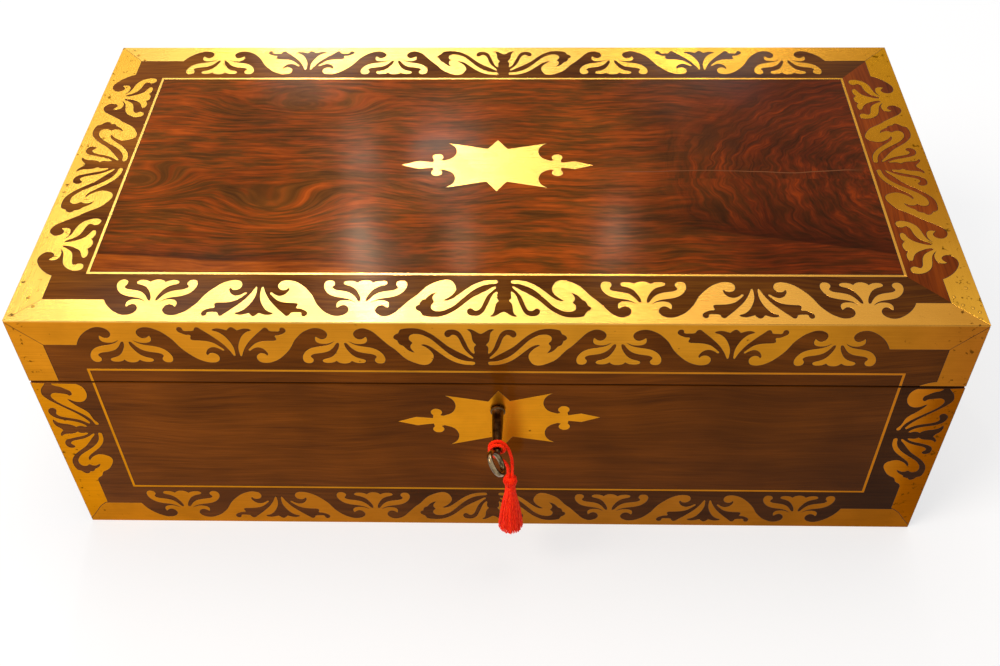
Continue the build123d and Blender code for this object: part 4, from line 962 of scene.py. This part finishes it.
# Carcass: mahogany boards, planed, waxed inside, with the grain running the long way of each board.
def mahogany(name, *grain):
    """Planed mahogany under wax: an even red-brown with short dark pores and slow ribbons along the grain."""
    made, tree, place = material(name)
    wide = add(tree, "Mapping", {"Vector": place, "Scale": [1 / size for size in grain]})
    ribbon = add(tree, "TexNoise", {"Vector": wide, "Scale": 1.0, "Detail": 3.0, "Distortion": 0.5})
    fine = add(tree, "Mapping", {"Vector": place, "Scale": [14 / size for size in grain]})
    pore = add(tree, "TexNoise", {"Vector": fine, "Scale": 1.0, "Detail": 2.0})
    figure = add(tree, "Mix", {"Factor_Float": 0.45, "A_Float": ribbon, "B_Float": pore}, out="Result_Float")
    tone = add(tree, "ValToRGB", [figure], stops=[(0.38, "4A2412"), (0.62, "8A4A26")])
    # The boards' front face is painted near-black: painted shade in the parting and the other gaps between
    # the veneers
    face = add(tree, "SeparateXYZ", [place], out="Y")
    face = add(tree, "Math", [face, 0.2 * MM - half_y + veneer], operation="LESS_THAN")
    tone = add(tree, "Mix", {"Factor_Float": face, "A_Color": tone, "B_Color": "140A04"}, out="Result_Color",
               data_type="RGBA")
    bump = add(tree, "Bump", {"Height": pore, "Strength": 0.2, "Distance": 0.1 * MM})
    waxed = add(tree, "BsdfPrincipled", {"Base Color": tone, "Roughness": 0.45, "Specular IOR Level": 0.3,
                                         "Normal": bump})
    add(tree, "OutputMaterial", [waxed])
    return made


grain_long = 200 * MM
grain_wide = 14 * MM
finish_nodes(mahogany("waxed_mahogany_long_boards", grain_long, grain_wide, grain_wide), "base_floor",
             "base_front_board", "base_back_board", "lid_top_board", "lid_front_board", "lid_back_board",
             "base_flap", "lid_flap", "base_flap_ledges", "lid_flap_ledges", "compartment_dividers",
             "pen_tray")
finish_nodes(mahogany("waxed_mahogany_end_boards", grain_wide, grain_long, grain_wide), "base_left_board",
             "base_right_board", "lid_left_board", "lid_right_board")

# Fittings: cast and rolled brass with its first polish gone: the lock's case, link plate, hinges, screws,
# handle plates and the hinges of the writing flaps.
fittings = sheet_brass("aged_cast_brass", 0, 0.36, [(-254, "B98E44"), (254, "A87C38")])
finish_nodes(fittings, "lock_case", "lock_link_plate", "hinge_base_leaves", "hinge_lid_leaves",
             "base_flap_hinge_leaves", "base_flap_moving_leaves", "lid_flap_hinge_leaves",
             "lid_flap_moving_leaves", "left_handle_plate", "right_handle_plate", "left_handle_bail",
             "right_handle_bail", "left_inkwell_cap", "right_inkwell_cap", "base_screws", "lid_screws")


# Lock bolt, hinge pins and key: wrought steel, filed bright once, now browned in the hollows. The key is a
# turned stem with a collar, a bow bent from wire and a plain bit.
def filed_steel(name, bright, brown, rough):
    """Filed and handled steel: a grey metal, browned where fingers don't reach, with file marks round it."""
    made, tree, place = material(name)
    cloud = add(tree, "TexNoise", {"Vector": place, "Scale": 1 / (7 * MM), "Detail": 4.0, "Roughness": 0.65})
    tone = add(tree, "ValToRGB", [cloud], stops=[(0.4, brown), (0.6, bright)])
    file_mark = 0.35 * MM
    laid = add(tree, "Mapping", {"Vector": place, "Scale": (0.1 / file_mark, 1 / file_mark, 0.1 / file_mark)})
    marks = add(tree, "TexNoise", {"Vector": laid, "Scale": 1.0, "Detail": 2.0})
    bump = add(tree, "Bump", {"Height": marks, "Strength": 0.2, "Distance": 0.04 * MM})
    metal = add(tree, "BsdfPrincipled", {"Base Color": tone, "Metallic": 1.0, "Roughness": rough,
                                         "Normal": bump})
    add(tree, "OutputMaterial", [metal])
    return made


steel = filed_steel("browned_filed_steel", "6E5436", "2E1E10", 0.32)
bow_steel = filed_steel("bright_filed_steel", "A08C6C", "4A3C28", 0.24)
finish_nodes(steel, "lock_bolt", "hinge_pins")

key_lean = math.radians(61)
stem_profile = [(0, -117.2), (2.6, -117.2), (2.9, -117.6), (2.9, -129.4), (3.5, -129.6), (4.1, -129.9),
                (4.25, -130.4), (4.1, -130.9), (3.5, -131.3), (3.2, -132.2), (3.15, -136), (3.0, -142),
                (2.7, -149), (2.3, -153.5), (2.15, -156), (2.3, -158.2), (1.9, -159.6), (1.3, -160.8),
                (0, -161.0)]
bow_centre = -166.6
bow_half_width = 7.0
bow_half_length = 5.7
bow_wire = 1.5
bow_steps = 40
bit_size = (7, 2.3, 2.2)
bit_place = (5.5, -118.45, 0)
KEY_PLACE = Matrix.Translation((keyhole_x, 0, keyhole_z)) @ Matrix.Rotation(key_lean, 4, "Y")
stem = mesh_of("key_stem", lathe(stem_profile, (0, 0, 0), (0, 1, 0), 40))
ring = [Vector((bow_half_width * math.cos(math.tau * step / bow_steps),
                bow_centre + bow_half_length * math.sin(math.tau * step / bow_steps), 0)) * MM
        for step in range(bow_steps)]
bow = threads("key_bow", [ring], bow_wire * MM, 14, closed=True)
work = bmesh.new()
bmesh.ops.create_cube(work, size=1)
bmesh.ops.scale(work, verts=work.verts, vec=Vector(bit_size) * MM)
bmesh.ops.translate(work, verts=work.verts, vec=Vector(bit_place) * MM)
bmesh.ops.bevel(work, geom=work.edges[:], offset=0.2 * MM, affect="EDGES", segments=1, profile=0.5,
                material=-1)
bit = mesh_of("key_bit", work, sharp=0)
for name, mesh, metal in (("key_stem", stem, steel), ("key_bow", bow, bow_steel), ("key_bit", bit, steel)):
    mesh.transform(KEY_PLACE)
    belongs(put(name, mesh), metal, "key", "steel", "key")


# Writing surface: a skin of thin green sheepskin on each flap, glued down in a shallow recess, with two
# blind-tooled and gilt lines near its edge.
def sheepskin():
    """Dyed skiver, burnished and tooled: a low satin with a fine pebble, darker where the dye pooled."""
    made, tree, place = material("tooled_green_skiver")
    cloud = add(tree, "TexNoise", {"Vector": place, "Scale": 1 / (45 * MM), "Detail": 4.0})
    tone = add(tree, "ValToRGB", [cloud], stops=[(0.35, "1A3422"), (0.65, "26442E")])
    pebble = add(tree, "TexVoronoi", {"Vector": place, "Scale": 1 / (1.1 * MM)})
    bump = add(tree, "Bump", {"Height": pebble, "Strength": 0.35, "Distance": 0.12 * MM})
    skin = add(tree, "BsdfPrincipled", {"Base Color": tone, "Roughness": 0.55, "Specular IOR Level": 0.35,
                                        "Normal": bump})
    add(tree, "OutputMaterial", [skin])
    return made


def gold_leaf():
    """Gold leaf, laid with a hot wheel and rubbed thin: a bright warm metal with worn gaps along the line."""
    made, tree, place = material("tooled_gold_leaf")
    wear = add(tree, "TexNoise", {"Vector": place, "Scale": 1 / (5 * MM), "Detail": 3.0, "Roughness": 0.7})
    tone = add(tree, "ValToRGB", [wear], stops=[(0.4, "6A5426"), (0.52, "D8A848")])
    gold = add(tree, "BsdfPrincipled", {"Base Color": tone, "Metallic": 1.0, "Roughness": 0.35})
    add(tree, "OutputMaterial", [gold])
    return made


skiver = sheepskin()
gilt = gold_leaf()
parting_back = 89.0 * MM
slope = math.atan((parting_front - parting_back) / (depth_mm * MM))
flap_drop = 2.0 * MM * math.cos(slope)
skin = 0.8 * MM * math.cos(slope)
skin_edge = 0.25 * MM
gilt_rise = 0.03 * MM
gilt_lines = [(5.0 * MM, 0.6 * MM), (8.0 * MM, 0.3 * MM)]
ON_PARTING = Matrix.Translation((0, 0, (parting_front + parting_back) / 2)) @ Matrix.Rotation(-slope, 4, "X")
for side, body in ((-1, "base_flap"), (1, "lid_flap")):
    node = body + "_leather"
    near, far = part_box(node)
    x, low, high = far.x, near.y / math.cos(slope), far.y / math.cos(slope)
    panel = plate(body + "_skiver", [[rectangle(-x, low, x, high)]], skin, ON_PARTING,
                  low=flap_drop if side > 0 else -flap_drop - skin, edge=skin_edge)
    bars = [bar for inset, half in gilt_lines
            for bar in frame_bars(x - inset, low + inset, high - inset, half=half)]
    lines = plate(body + "_gilt_lines", bars, 2 * gilt_rise, ON_PARTING, low=side * flap_drop - gilt_rise)
    belongs(panel, skiver, body, "leather", node)
    belongs(lines, gilt, body, "leather", node)


# Inkwells: square bottles of moulded lead glass with cut corners and a screw neck. They stand loose on the
# ink shelves of the base, under brass caps.
def cut_glass():
    """Colourless lead glass, moulded and cut: clear, with a faint green in its thickness and slight waves."""
    made, tree, place = material("cut_lead_glass")
    wave = add(tree, "TexNoise", {"Vector": place, "Scale": 1 / (9 * MM), "Detail": 1.0})
    bump = add(tree, "Bump", {"Height": wave, "Strength": 0.1, "Distance": 0.1 * MM})
    glass = add(tree, "BsdfPrincipled", {"Base Color": "E6F0EA", "Roughness": 0.04, "IOR": 1.54,
                                         "Transmission Weight": 1.0, "Normal": bump})
    add(tree, "OutputMaterial", [glass])
    return made


finish_nodes(cut_glass(), "left_inkwell", "right_inkwell")

low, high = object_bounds()
